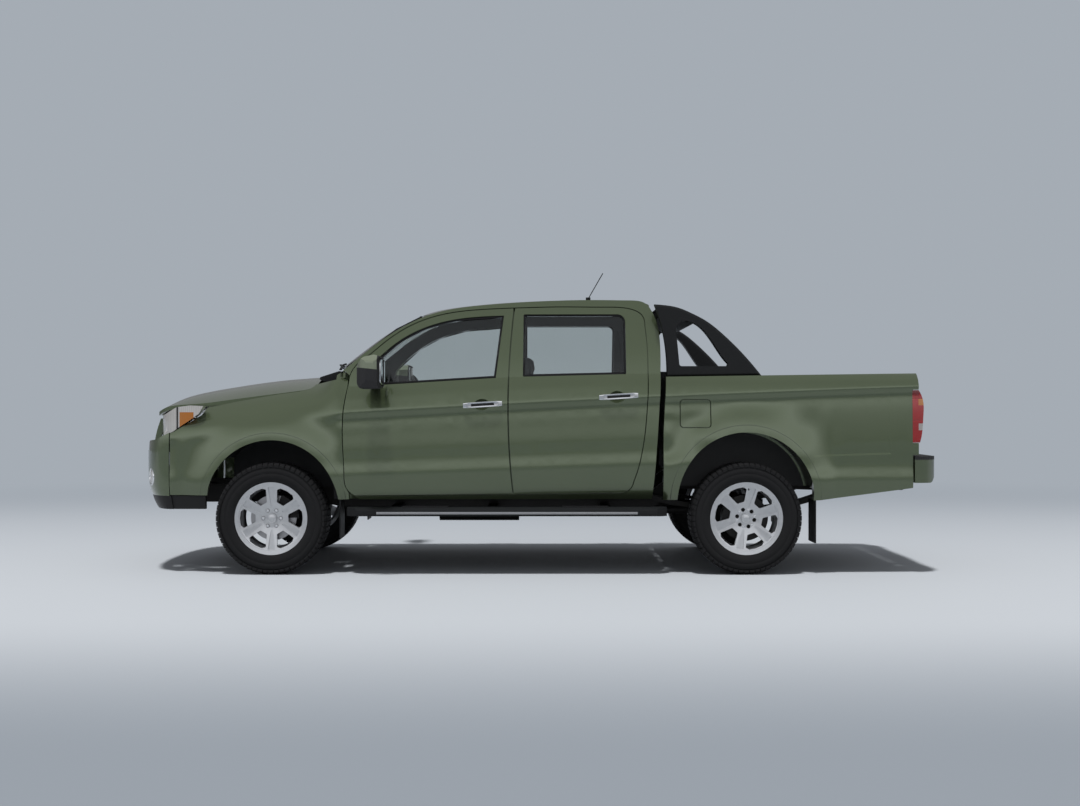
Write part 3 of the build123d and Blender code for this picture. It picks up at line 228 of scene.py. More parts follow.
bpy.ops.object.select_all(action="DESELECT")
bpy.ops.mesh.primitive_plane_add(size=160, location=(0, 0, 0))
floor = bpy.context.object
floor.name = "floor"
paper = Finish("floor_paper")
depth = paper.axis("Y")
width = paper.axis("X")
# A pool of light is painted on the paper: pale from just in front of the truck back under it, fading to
# grey-blue towards the camera and far behind.
painted_light_pool = paper.step(depth, -5.4, -2.6)
far = paper.step(depth, 9.0, -2.4)
shade = paper.mix(painted_light_pool * far, (0.27, 0.30, 0.34), (0.52, 0.55, 0.59))
matt = paper.node("ShaderNodeBsdfPrincipled", None, {"Base Color": shade, "Roughness": 0.75})
dull = paper.node(
    "ShaderNodeBsdfDiffuse", None, {"Color": paper.mix(painted_light_pool, (0.10, 0.10, 0.10), (0.16, 0.16, 0.16))}
)
bounce = paper.node("ShaderNodeLightPath", output="Is Diffuse Ray")
paper_or_bounce = paper.node("ShaderNodeMixShader", None, {0: bounce, 1: matt, 2: dull})
away = (width * width + depth * depth) ** 0.5
rays = paper.node("ShaderNodeLightPath", output="Is Camera Ray")
wash = paper.node("ShaderNodeEmission", None, {"Color": (*backdrop_colour, 1)})
edge = paper.step(away, 5.5, 12.0) * rays
mixed = paper.node("ShaderNodeMixShader", None, {0: edge, 1: paper_or_bounce, 2: wash})
paper.node("ShaderNodeOutputMaterial", None, {"Surface": mixed}, None)
floor.data.materials.append(paper.material)


# ---------------------------------------------------------------- painted body
# Pressed steel panels in a metallic sage green: a base coat with fine aluminium flake
# under a clear, polished lacquer. The wings and the load bed have rolled lips round their
# wheels, and the bed's sides a shallow field pressed into them.
def wear(nodes, material):
    """Gives CAD nodes their finish."""
    for name in nodes:
        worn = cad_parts[name].data.materials
        worn.clear()
        worn.append(material)


def both(*names):
    return [f"{name}_{side}" for name in names for side in ("left", "right")]


front_axle_x, rear_axle_x, wheel_y, axle_height = -1.70, 1.385, 0.765, 0.364
arches = ((front_axle_x, 0.441, 0.432), (rear_axle_x, 0.483, 0.441))
lip_width, lip_step = 0.044, 0.0035
valance_top, bumper_rear_x = 0.50, -2.10
shade_edge = 0.002

paint = Finish("body_paint")
along, height = paint.axis("X"), paint.axis("Z")


def beyond_arches(low, high):
    """0 nearer a wheel arch's edge than low, 1 further out than high."""
    levels = []
    for middle_x, middle_z, radius in arches:
        away = ((along - middle_x) ** 2 + (height - middle_z) ** 2) ** 0.5 - radius
        levels.append(paint.step(away, low, high))
    return levels[0].smaller(levels[1])


lips = beyond_arches(lip_width, lip_width + 0.006)
under_rail = paint.step(1.152 + 0.04 * (along - 0.85) - height, 0.0, 0.012)
over_sill = paint.step(height - 0.765 - 0.03 * (along - 1.85), 0.0, 0.012)
before_tail = paint.step(2.335 - along, 0.0, 0.020)
behind_arch = paint.step(along - 1.80, 0.0, 0.12)
field = under_rail * over_sill * before_tail * behind_arch
pressing = lip_step * lips - lip_step * field
flake = paint.node("ShaderNodeTexVoronoi", None, {"Vector": paint.place, "Scale": 1400}, "Color")
glint = paint.node("ShaderNodeSeparateColor", None, {0: flake})
drift = paint.noise(2.2)
green = paint.mix(drift * 0.35 + glint * 0.25, (0.100, 0.132, 0.068), (0.135, 0.170, 0.096))
across = paint.axis("Y")
facing = paint.node("ShaderNodeTexCoord", output="Normal")
sideways = paint.node("ShaderNodeSeparateXYZ", None, {0: facing}, "Y")
upwards = paint.node("ShaderNodeSeparateXYZ", None, {0: facing}, "Z")
inward = paint.step(sideways * across.math("SIGN", across) * -1, 0.25, 0.45)
in_cab = paint.step(along, -1.2, -1.1) * paint.step(0.86 - along, 0.0, 0.05)
headlining = paint.step(-upwards, 0.25, 0.45) * paint.step(height, 1.70, 1.72)
lined = inward.larger(headlining) * in_cab
green = paint.mix(lined, green, (0.060, 0.062, 0.065))
above_valance = paint.step(height, valance_top - shade_edge, valance_top + shade_edge)
bottom = above_valance.larger(paint.step(along, bumper_rear_x, bumper_rear_x + 0.01))
outside = beyond_arches(-0.010, -0.006) * bottom
green = paint.mix(outside, (0.008, 0.008, 0.009), green)
lined = lined.larger(1 - outside)
body_paint = paint.end(
    {
        "Base Color": green,
        "Metallic": 0.65 * (1 - lined),
        "Roughness": 0.30 + 0.05 * glint + 0.3 * lined,
        "Coat Weight": 1 - lined,
        "Coat Roughness": 0.04,
        "Normal": paint.bump(pressing, 1.0),
    }
)
wear(
    both("wing", "front_door", "rear_door", "cab_side", "bed_side")
    + ["roof", "hood", "tailgate", "fuel_flap", "cab_back", "front_bumper"],
    body_paint,
)

# ---------------------------------------------------------------- black moulded plastic
# Grained polypropylene mouldings: steps, mud flaps, cowl, arch liners and the bar's skin.
plastic = Finish("black_plastic")
grain = plastic.node(
    "ShaderNodeTexVoronoi", {"feature": "SMOOTH_F1"}, {"Vector": plastic.place, "Scale": 900}
)
dust = plastic.noise(9)
black_plastic = plastic.end(
    {
        "Base Color": plastic.mix(dust, (0.008, 0.009, 0.010), (0.016, 0.017, 0.018)),
        "Roughness": 0.5 + 0.12 * dust,
        "Specular IOR Level": 0.3,
        "Normal": plastic.bump(grain, 0.0004, 0.5),
    }
)
wear(
    ["side_steps", "mud_flaps", "arch_liners", "sports_bar", "aerial", "cowl"],
    black_plastic,
)

# ---------------------------------------------------------------- running gear
# Frame, engine block, axles and springs under black chassis paint, with road dust.
steel = Finish("chassis_paint")
dirt = steel.noise(7, 5)
chassis_paint = steel.end(
    {
        "Base Color": steel.mix(dirt, (0.008, 0.008, 0.009), (0.022, 0.021, 0.019)),
        "Metallic": 0.1,
        "Specular IOR Level": 0.3,
        "Roughness": 0.45 + 0.25 * dirt,
        "Normal": steel.bump(steel.noise(120), 0.0006, 0.4),
    }
)
wear(
    ["chassis", "drivetrain", "rear_axle", "suspension", "cab_floor"]
    + both("knuckle")
    + ["fuel_tank", "exhaust"]
    + both("brake_drum"),
    chassis_paint,
)

# ---------------------------------------------------------------- window rubbers
# Every pane sits in a black extruded rubber channel, whose rounded lip lies on the glass all
# the way round. Each door's channel swings with the door.
def fresh(kind, **shape):
    """Adds a primitive with nothing else selected."""
    bpy.ops.object.select_all(action="DESELECT")
    getattr(bpy.ops.mesh, f"primitive_{kind}_add")(**shape)
    return bpy.context.object


def choose_parts(kind, wanted):
    """In edit mode, selects the faces, edges or verts that wanted() says yes to."""
    piece = bpy.context.object
    bpy.ops.mesh.select_mode(type={"faces": "FACE", "edges": "EDGE", "verts": "VERT"}[kind])
    bpy.ops.mesh.select_all(action="DESELECT")
    shape = bmesh.from_edit_mesh(piece.data)
    for part in getattr(shape, kind):
        part.select_set(wanted(part))
    shape.select_flush_mode()
    bmesh.update_edit_mesh(piece.data)


def join(pieces):
    bpy.ops.object.select_all(action="DESELECT")
    for piece in pieces:
        piece.select_set(True)
    bpy.context.view_layer.objects.active = pieces[0]
    if len(pieces) > 1:
        bpy.ops.object.join()
    return bpy.context.object


def done(piece, name, material, slot, body, corner=35):
    """Applies the piece's place, smooths it, names it, gives it its material and hangs it on the body
    it rides on.
    """
    bpy.ops.object.select_all(action="DESELECT")
    piece.select_set(True)
    bpy.context.view_layer.objects.active = piece
    bpy.ops.object.transform_apply(location=True, rotation=True, scale=True)
    bpy.ops.object.shade_smooth_by_angle(angle=math.radians(corner))
    piece.name = name
    piece.data.name = name
    if material:
        piece.data.materials.clear()
        piece.data.materials.append(material)
    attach(piece, body)
    return piece


def settle(piece, *modifiers):
    """Adds each modifier with its settings, and applies it."""
    bpy.context.view_layer.objects.active = piece
    for kind, settings in modifiers:
        modifier = piece.modifiers.new(kind.lower(), kind)
        for name, value in settings.items():
            setattr(modifier, name, value)
        bpy.ops.object.modifier_apply(modifier=modifier.name)
    return piece


def copy_of(piece, place=None):
    twin = piece.copy()
    twin.data = piece.data.copy()
    scene.collection.objects.link(twin)
    if place is not None:
        twin.data.transform(place)
    return twin


gum = Finish("window_rubber")
bloom = gum.noise(30)
window_rubber = gum.end(
    {
        "Base Color": gum.mix(bloom, (0.006, 0.006, 0.007), (0.014, 0.014, 0.015)),
        "Roughness": 0.45 + 0.15 * bloom,
        "Specular IOR Level": 0.3,
    }
)


def edging(node, name, facing, wide, proud, body):
    """A rubber strip that follows the edge of a pane, on the pane's outer face."""
    strip = bpy.data.objects.new(name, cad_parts[node].data.copy())
    scene.collection.objects.link(strip)
    bpy.ops.object.select_all(action="DESELECT")
    strip.select_set(True)
    bpy.context.view_layer.objects.active = strip
    bpy.ops.object.mode_set(mode="EDIT")
    bpy.ops.mesh.select_all(action="SELECT")
    bpy.ops.mesh.remove_doubles(threshold=0.0002)
    choose_parts("faces", lambda f: f.normal.dot(facing) < 0.55)
    bpy.ops.mesh.delete(type="FACE")
    bpy.ops.mesh.select_all(action="SELECT")
    bpy.ops.mesh.dissolve_limited(angle_limit=math.radians(8))
    bpy.ops.mesh.select_all(action="SELECT")
    bpy.ops.mesh.inset(thickness=wide)
    bpy.ops.mesh.delete(type="FACE")
    bpy.ops.object.mode_set(mode="OBJECT")
    settle(
        strip,
        ("SOLIDIFY", {"thickness": proud, "offset": 0.6}),
        ("BEVEL", {"width": 0.0015, "segments": 2, "angle_limit": math.radians(50)}),
    )
    return done(strip, name, window_rubber, "rubber", body)


for side, sign in (("left", -1), ("right", 1)):
    out = Vector((0, sign, 0))
    for end in ("front", "rear"):
        glass, rubber_name = f"{end}_door_glass_{side}", f"{end}_window_rubber_{side}"
        edging(glass, rubber_name, out, 0.013, 0.010, f"{end}_door_body_{side}")
edging("windscreen", "windscreen_rubber", Vector((-0.8, 0, 0.6)), 0.016, 0.006, "truck")
edging("rear_window", "back_window_rubber", Vector((1, 0, 0)), 0.016, 0.006, "truck")

# ---------------------------------------------------------------- headlamps
# Clear moulded covers over bright reflectors, with an amber side marker behind a dark
# divider, and fine upright flutes moulded into the reflector. Each flute also carries a painted
# highlight and painted shade across its width, on top of its bump.
lamp_cover = Finish("headlamp")
lamp_x, lamp_z = lamp_cover.axis("X"), lamp_cover.axis("Z")
marker = (
    lamp_cover.step(lamp_x, -2.322, -2.318)
    * lamp_cover.step(-2.218 - lamp_x, 0.0, 0.004)
    * lamp_cover.step(lamp_z, 0.954, 0.958)
    * lamp_cover.step(1.056 - lamp_z, 0.0, 0.004)
)
divider = lamp_cover.step(lamp_x, -2.347, -2.343) * lamp_cover.step(-2.328 - lamp_x, 0.0, 0.004)
flutes = (lamp_x * 420).wave()
# Light and dark bands follow each flute: painted highlight and painted shade on the flutes.
reflector_with_painted_flute_light = lamp_cover.mix(0.5 + 0.5 * flutes, (0.84, 0.83, 0.82), (0.96, 0.95, 0.94))
reflector_with_painted_flute_light = lamp_cover.mix(marker, reflector_with_painted_flute_light, (0.72, 0.25, 0.03))
reflector_with_painted_flute_light = lamp_cover.mix(divider, reflector_with_painted_flute_light, (0.02, 0.02, 0.02))
headlamp = lamp_cover.end(
    {
        "Base Color": reflector_with_painted_flute_light,
        "Metallic": 0.1 * (1 - marker),
        "Roughness": 0.12 + 0.1 * marker,
        "Coat Weight": 1.0,
        "Coat Roughness": 0.02,
        "Normal": lamp_cover.bump(flutes, 0.0006, 0.6),
    }
)
wear(["headlamps"], headlamp)

# ---------------------------------------------------------------- fog lamps
# Round glass lenses, domed and set into the bumper behind a chromed ring.
bright = Finish("bright_chrome")
smear = bright.noise(25)
chrome = bright.end(
    {
        "Base Color": bright.mix(smear, (0.62, 0.63, 0.65), (0.78, 0.79, 0.80)),
        "Metallic": 1.0,
        "Roughness": 0.08 + 0.10 * smear,
    }
)
for side, sign in (("left", -1), ("right", 1)):
    aimed = Matrix.Rotation(-sign * math.radians(28), 4, "Z")
    place = Matrix.Translation((-2.522, sign * 0.668, 0.628)) @ aimed
    lens = fresh("cylinder", vertices=48, radius=0.050, depth=0.016, rotation=(0, math.pi / 2, 0))
    bpy.ops.object.transform_apply(location=True, rotation=True, scale=True)
    bpy.ops.object.mode_set(mode="EDIT")
    choose_parts("faces", lambda f: f.normal.x < -0.9)
    for ring in range(3):
        bpy.ops.mesh.inset(thickness=0.012)
        bpy.ops.transform.translate(value=(-0.003 + 0.001 * ring, 0, 0))
    bpy.ops.object.mode_set(mode="OBJECT")
    lens.data.transform(place)
    done(lens, f"fog_lens_{side}", headlamp, "lamp_glass", "truck")
    ring = fresh("torus", major_radius=0.054, minor_radius=0.0055, major_segments=64, minor_segments=12)
    ring.scale = (1, 1, 1.5)
    bpy.ops.object.transform_apply(location=True, rotation=True, scale=True)
    faced = Matrix.Translation((-0.006, 0, 0)) @ Matrix.Rotation(math.pi / 2, 4, "Y")
    ring.data.transform(place @ faced)
    done(ring, f"fog_ring_{side}", chrome, "wheel_silver", "truck")

# ---------------------------------------------------------------- grille
# A surround painted with the body, and black slats deep in it. The lip under the bumper is
# a black moulding of the same plastic.
sage_tones = ((0.09, 0.12, 0.062), (0.11, 0.142, 0.078))
nose = Finish("grille")
nose_y, nose_z = nose.axis("Y"), nose.axis("Z")
rim = nose.step(abs(nose_y), 0.478, 0.482)
top_rim = nose.step(nose_z, 0.968, 0.972)
above_lip = nose.step(nose_z, 0.506, 0.508)
painted = rim.larger(top_rim) * above_lip
sage = nose.mix(nose.noise(6), *sage_tones)
grille_finish = nose.end(
    {
        "Base Color": nose.mix(painted, (0.010, 0.010, 0.011), sage),
        "Metallic": 0.5 * painted,
        "Roughness": 0.45 - 0.1 * painted,
        "Coat Weight": painted,
        "Specular IOR Level": 0.35,
    }
)
wear(["grille"], grille_finish)

# ---------------------------------------------------------------- tail lamps
# Red covers with an amber turn lens and a clear reversing lens let into them, each segment
# parted from the next by a moulded groove.
rear_lens = Finish("tail_lamp")
lens_z = rear_lens.axis("Z")
lens_x = rear_lens.axis("X")
turn_lens = rear_lens.step(lens_z, 1.098, 1.101) * rear_lens.step(1.142 - lens_z, 0.0, 0.003)
clear_lens = rear_lens.step(lens_z, 0.935, 0.938) * rear_lens.step(0.982 - lens_z, 0.0, 0.003)
behind = rear_lens.step(lens_x, 2.512, 2.518)
groove = rear_lens.step(abs((lens_z * 22).wave()), 0.0, 0.10)
tint = rear_lens.mix(rear_lens.noise(40), (0.42, 0.006, 0.008), (0.52, 0.012, 0.014))
tint = rear_lens.mix(turn_lens * behind, tint, (0.62, 0.22, 0.03))
tint = rear_lens.mix(clear_lens * behind, tint, (0.62, 0.60, 0.60))
prisms = rear_lens.node("ShaderNodeTexVoronoi", None, {"Vector": rear_lens.place, "Scale": 140})
tail_lamp = rear_lens.end(
    {
        "Base Color": tint,
        "Roughness": 0.16 + 0.05 * prisms,
        "Coat Weight": 1.0,
        "Normal": rear_lens.bump(groove + 0.15 * prisms, 0.0020, 0.6),
    }
)
wear(["tail_lamps"], tail_lamp)

# ---------------------------------------------------------------- rear bumper
# A painted steel face bar under a black, ribbed tread plate.
bar = Finish("rear_bumper")
bar_z = bar.axis("Z")
tread_top = bar.step(bar_z, 0.742, 0.746)
ribs = (bar.axis("X") * 500).wave()
bar_tone = bar.mix(bar.noise(6), *sage_tones)
bumper_finish = bar.end(
    {
        "Base Color": bar.mix(tread_top, bar_tone, (0.010, 0.010, 0.011)),
        "Metallic": 0.5 * (1 - tread_top),
        "Roughness": 0.35 + 0.2 * tread_top,
        "Coat Weight": 1 - tread_top,
        "Normal": bar.bump(ribs * tread_top, 0.0015, 0.5),
    }
)
wear(["rear_bumper"], bumper_finish)

# ---------------------------------------------------------------- load bed
# The bed's floor is sprayed with a coarse black liner that grips the load.
liner = Finish("bed_liner")
pebble = liner.node("ShaderNodeTexVoronoi", None, {"Vector": liner.place, "Scale": 260})
sprayed = liner.end(
    {
        "Base Color": liner.mix(liner.noise(4), (0.012, 0.012, 0.013), (0.026, 0.026, 0.026)),
        "Roughness": 0.75 - 0.15 * pebble,
        "Normal": liner.bump(pebble, 0.0015, 0.6),
    }
)
wear(["bed_floor"], sprayed)

# ---------------------------------------------------------------- tyres
# Radial road tyres: a rubber carcass with a rounded shoulder and a smooth sidewall, and a
# tread of ribs and shoulder lugs moulded in one with it. Each is stretched over its rim.
wheels = {
    f"{end}_{side}": (x, y)
    for end, x in (("front", front_axle_x), ("rear", rear_axle_x))
    for side, y in (("left", -wheel_y), ("right", wheel_y))
}


def turned(outline, steps):
    """A ring about Y from an outline of (radius, across) points."""
    ring = fresh("circle", vertices=steps, radius=outline[0][0], rotation=(math.pi / 2, 0, 0))
    ring.location.y = 0
    bpy.ops.object.transform_apply(location=True, rotation=True, scale=True)
    bpy.ops.object.mode_set(mode="EDIT")
    bpy.ops.mesh.select_mode(type="VERT")
    bpy.ops.mesh.select_all(action="SELECT")
    bpy.ops.transform.translate(value=(0, outline[0][1], 0))
    for (was, before), (radius, across) in zip(outline, outline[1:]):
        bpy.ops.mesh.extrude_region_move(TRANSFORM_OT_translate={"value": (0, across - before, 0)})
        grow = radius / was
        bpy.ops.transform.resize(value=(grow, 1, grow), center_override=(0, 0, 0))
    bpy.ops.mesh.select_all(action="SELECT")
    bpy.ops.mesh.remove_doubles(threshold=0.0001)
    bpy.ops.mesh.normals_make_consistent(inside=False)
    bpy.ops.object.mode_set(mode="OBJECT")
    return ring


rubber = Finish("tyre_rubber")
wornness = rubber.noise(18)
turn = (rubber.axis("X") ** 2 + rubber.axis("Z") ** 2) ** 0.5
tyre_rubber = rubber.end(
    {
        "Base Color": rubber.mix(wornness, (0.009, 0.009, 0.010), (0.019, 0.019, 0.020)),
        "Roughness": 0.56 + 0.14 * wornness,
        "Specular IOR Level": 0.25,
        "Normal": rubber.bump(rubber.noise(500), 0.0003, 0.4),
    }
)
tyre_outline = [
    (0.222, -0.088), (0.232, -0.096), (0.238, -0.104), (0.250, -0.111), (0.270, -0.1155),
    (0.288, -0.1160), (0.291, -0.1145), (0.296, -0.1145), (0.299, -0.1160), (0.316, -0.114),
    (0.332, -0.108), (0.344, -0.099), (0.3515, -0.088), (0.3545, -0.070), (0.3555, -0.035),
    (0.3560, 0.0),
]
tyre_outline += [(radius, -across) for radius, across in tyre_outline[-2::-1]]
carcass = turned(tyre_outline, 96)
settle(carcass, ("BEVEL", {"width": 0.0015, "segments": 1, "angle_limit": math.radians(40)}))

# One pitch of the tread: a middle rib block, a slanted lug each side of it and a shoulder
# lug that wraps over the tyre's edge. Sixty of them go round.
pitches = 60
pitch = 2 * math.pi * 0.36 / pitches
blocks = []
for across, wide, slant, height in (
    (0.0, 0.024, 0.0, 0.0085),
    (0.034, 0.030, 0.25, 0.0083),
    (0.071, 0.031, -0.20, 0.0075),
    (0.102, 0.020, 0.0, 0.0062),
):
    for hand in (-1, 1) if across else (1,):
        block = fresh("cube", size=1, location=(0, hand * across, 0.3535 + height / 2 - 0.004))
        block.scale = (pitch * 0.80, wide, height + 0.008)
        bpy.ops.object.transform_apply(location=True, rotation=True, scale=True)
        bpy.ops.object.mode_set(mode="EDIT")
        choose_parts("verts", lambda v: v.co.y * hand > across)
        bpy.ops.transform.translate(value=(slant * pitch * 0.5, 0, 0))
        choose_parts("faces", lambda f: f.normal.z > 0.9)
        bpy.ops.mesh.inset(thickness=0.0012)
        bpy.ops.transform.translate(value=(0, 0, 0.0007))
        bpy.ops.object.mode_set(mode="OBJECT")
        blocks.append(block)
        if across > 0.1:
            bpy.ops.object.mode_set(mode="EDIT")
            choose_parts("verts", lambda v: v.co.y * hand > across)
            bpy.ops.transform.translate(value=(0, hand * 0.001, -0.0125))
            bpy.ops.object.mode_set(mode="OBJECT")
segment = join(blocks)
ring = [segment]
for number in range(1, pitches):
    ring.append(copy_of(segment, Matrix.Rotation(number * math.tau / pitches, 4, "Y")))
tread = join(ring)
model_tyre = join([carcass, tread])

for wheel, (x, y) in wheels.items():
    tyre = copy_of(model_tyre, Matrix.Translation((x, y, axle_height)))
    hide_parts(f"tyre_{wheel}")
    done(tyre, f"tread_tyre_{wheel}", tyre_rubber, "tyre", f"wheel_{wheel}")
bpy.data.objects.remove(model_tyre)

# ---------------------------------------------------------------- wheels
# Cast alloy wheels with six broad grooved spokes in bright silver lacquer. Six chromed
# nuts hold each to its hub, round a pressed cap, and a rubber valve stands in the rim.
silver = Finish("wheel_silver")
cast = silver.noise(45)
wheel_silver = silver.end(
    {
        "Base Color": silver.mix(cast, (0.50, 0.51, 0.53), (0.62, 0.63, 0.64)),
        "Metallic": 0.8,
        "Roughness": 0.26 + 0.06 * cast,
        "Coat Weight": 0.6,
        "Coat Roughness": 0.08,
    }
)
wear(both("rim_front", "rim_rear"), wheel_silver)

nut = fresh("cylinder", vertices=6, radius=0.0115, depth=0.024, rotation=(math.pi / 2, 0, 0))
bpy.ops.object.transform_apply(location=True, rotation=True, scale=True)
bpy.ops.object.mode_set(mode="EDIT")
choose_parts("faces", lambda f: f.normal.y < -0.9)
bpy.ops.mesh.inset(thickness=0.002)
bpy.ops.mesh.extrude_region_move(TRANSFORM_OT_translate={"value": (0, -0.004, 0)})
bpy.ops.transform.resize(value=(0.75, 1, 0.75))
bpy.ops.object.mode_set(mode="OBJECT")
settle(nut, ("BEVEL", {"width": 0.001, "segments": 2}))
first_nut = Matrix.Translation((0.0285, -0.056, 0.0494))
nuts = [copy_of(nut, Matrix.Rotation(k * math.tau / 6, 4, "Y") @ first_nut) for k in range(6)]
bpy.data.objects.remove(nut)
model_nuts = join(nuts)

cap = fresh("cylinder", vertices=48, radius=0.031, depth=0.010, rotation=(math.pi / 2, 0, 0))
bpy.ops.object.transform_apply(location=True, rotation=True, scale=True)
bpy.ops.object.mode_set(mode="EDIT")
choose_parts("faces", lambda f: f.normal.y < -0.9)
bpy.ops.mesh.inset(thickness=0.004)
bpy.ops.mesh.extrude_region_move(TRANSFORM_OT_translate={"value": (0, 0.003, 0)})
bpy.ops.mesh.inset(thickness=0.004)
bpy.ops.mesh.extrude_region_move(TRANSFORM_OT_translate={"value": (0, -0.002, 0)})
bpy.ops.mesh.inset(thickness=0.010)
bpy.ops.mesh.extrude_region_move(TRANSFORM_OT_translate={"value": (0, -0.0015, 0)})
bpy.ops.object.mode_set(mode="OBJECT")
settle(cap, ("BEVEL", {"width": 0.0008, "segments": 2, "angle_limit": math.radians(30)}))
cap.data.transform(Matrix.Translation((0, -0.0735, 0)))

valve = fresh("cylinder", vertices=16, radius=0.0045, depth=0.030)
bpy.ops.object.mode_set(mode="EDIT")
choose_parts("faces", lambda f: f.normal.z < -0.9)
bpy.ops.mesh.inset(thickness=0.001)
bpy.ops.mesh.extrude_region_move(TRANSFORM_OT_translate={"value": (0, 0, -0.008)})
bpy.ops.transform.resize(value=(1.25, 1.25, 1))
bpy.ops.object.mode_set(mode="OBJECT")
valve.data.transform(Matrix.Rotation(math.radians(-55), 4, "X"))
valve.data.transform(Matrix.Translation((0.055, -0.076, 0.1905)))

for wheel, (x, y) in wheels.items():
    turn = Matrix.Rotation(math.radians(-12), 4, "Y") if wheel.startswith("rear") else Matrix()
    if y > 0:
        turn = turn @ Matrix.Rotation(math.pi, 4, "Z")
    place = Matrix.Translation((x, y, axle_height)) @ turn
    done(copy_of(model_nuts, place), f"wheel_nuts_{wheel}", chrome, "wheel_silver", f"wheel_{wheel}")
    done(copy_of(cap, place), f"wheel_cap_{wheel}", wheel_silver, "wheel_silver", f"wheel_{wheel}")
    done(copy_of(valve, place), f"valve_{wheel}", tyre_rubber, "rubber", f"wheel_{wheel}")
for model in (model_nuts, cap, valve):
    bpy.data.objects.remove(model)

disc = Finish("turned_steel")
turning = disc.noise(300, 2)
turned_steel = disc.end(
    {
        "Base Color": disc.mix(turning, (0.26, 0.26, 0.27), (0.42, 0.42, 0.43)),
        "Metallic": 0.95,
        "Roughness": 0.34 + 0.1 * turning,
    }
)
wear(both("brake_disc"), turned_steel)

# ---------------------------------------------------------------- door handles
# A chromed pull bar bridges each door's finger scoop, its ends turned in to the skin, with
# a black inlay along its face. Every bar is screwed to its own door.
def mirrored(piece):
    """A copy on the truck's other side, with its faces turned the right way out."""
    twin = copy_of(piece, Matrix.Scale(-1, 4, (0, 1, 0)))
    bpy.ops.object.select_all(action="DESELECT")
    twin.select_set(True)
    bpy.context.view_layer.objects.active = twin
    bpy.ops.object.mode_set(mode="EDIT")
    bpy.ops.mesh.select_all(action="SELECT")
    bpy.ops.mesh.flip_normals()
    bpy.ops.object.mode_set(mode="OBJECT")
    return twin


def pull_bar(long, high, deep, ends):
    """A bar along X with both ends curved in towards +Y."""
    bar = fresh("cube", size=1)
    bar.scale = (long - 4 * ends, deep, high)
    bpy.ops.object.transform_apply(location=True, rotation=True, scale=True)
    bpy.ops.object.mode_set(mode="EDIT")
    for way in (-1, 1):
        choose_parts("faces", lambda f: f.normal.x * way > 0.9)
        for sink, shrink in ((0.003, 0.96), (0.009, 0.86)):
            move = {"value": (way * ends, sink, 0)}
            bpy.ops.mesh.extrude_region_move(TRANSFORM_OT_translate=move)
            bpy.ops.transform.resize(value=(1, 1, shrink))
    choose_parts("faces", lambda f: f.normal.y < -0.98)
    bpy.ops.mesh.inset(thickness=high * 0.22)
    bpy.ops.transform.translate(value=(0, 0.0015, 0))
    bpy.ops.object.mode_set(mode="OBJECT")
    return settle(
        bar,
        ("BEVEL", {"width": 0.002, "segments": 2, "angle_limit": math.radians(30)}),
        ("SUBSURF", {"levels": 1, "render_levels": 1}),
    )


bar = pull_bar(0.255, 0.036, 0.014, 0.022)
inlay = fresh("cube", size=1)
inlay.scale = (0.150, 0.004, 0.017)
bpy.ops.object.transform_apply(location=True, rotation=True, scale=True)
settle(inlay, ("BEVEL", {"width": 0.0018, "segments": 3}))
for door, x, z in (("front", -0.328, 1.104), ("rear", 0.556, 1.157)):
    place = Matrix.Translation((x, -0.867, z)) @ Matrix.Rotation(math.radians(-3.5), 4, "Y")
    let_in = place @ Matrix.Translation((0, -0.0065, 0))
    pair = (
        (copy_of(bar, place), f"{door}_handle", chrome, "wheel_silver"),
        (copy_of(inlay, let_in), f"{door}_handle_inlay", black_plastic, "black_plastic"),
    )
    for piece, name, material, slot in pair:
        done(mirrored(piece), f"{name}_right", material, slot, f"{door}_door_body_right")
        done(piece, f"{name}_left", material, slot, f"{door}_door_body_left")
bpy.data.objects.remove(bar)
bpy.data.objects.remove(inlay)

# ---------------------------------------------------------------- door mirrors
# Each mirror's cap is painted with the body above a black moulded base, and holds a flat
# silvered glass that looks back along the truck. The cap's green is lighter than the body's:
# painted light on the cap.
shell = Finish("mirror_shell")
cap_edge = shell.step(shell.axis("Z") + 0.10 * shell.axis("X"), 1.226, 1.229)
fore = shell.step(-0.985 - shell.axis("X"), 0.0, 0.003)
capped = cap_edge * fore
# The cap is a lighter copy of the body green: painted light.
cap_green_painted_light = shell.mix(shell.noise(8), (0.25, 0.29, 0.20), (0.28, 0.32, 0.23))
mirror_finish = shell.end(
    {
        "Base Color": shell.mix(capped, (0.014, 0.014, 0.016), cap_green_painted_light),
        "Metallic": 0.5 * capped,
        "Roughness": 0.55 - 0.2 * capped,
        "Coat Weight": capped,
    }
)
wear(both("mirror"), mirror_finish)
silvered = Finish("mirror_glass")
breath = silvered.noise(12)
looking_glass = silvered.end(
    {
        "Base Color": silvered.mix(breath, (0.70, 0.72, 0.74), (0.82, 0.83, 0.84)),
        "Metallic": 1.0,
        "Roughness": 0.02 + 0.02 * breath,
    }
)
glass_plate = fresh("cube", size=1, location=(-0.968, -0.952, 1.312))
glass_plate.scale = (0.006, 0.250, 0.160)
bpy.ops.object.transform_apply(location=True, rotation=True, scale=True)
bpy.ops.object.mode_set(mode="EDIT")
choose_parts("edges", lambda e: abs(e.verts[0].co.x - e.verts[1].co.x) > 0.003)
bpy.ops.mesh.bevel(offset=0.035, segments=6)
bpy.ops.object.mode_set(mode="OBJECT")
settle(glass_plate, ("BEVEL", {"width": 0.001, "segments": 2, "angle_limit": math.radians(50)}))
done(mirrored(glass_plate), "mirror_glass_right", looking_glass, "glass", "front_door_body_right")
done(glass_plate, "mirror_glass_left", looking_glass, "glass", "front_door_body_left")

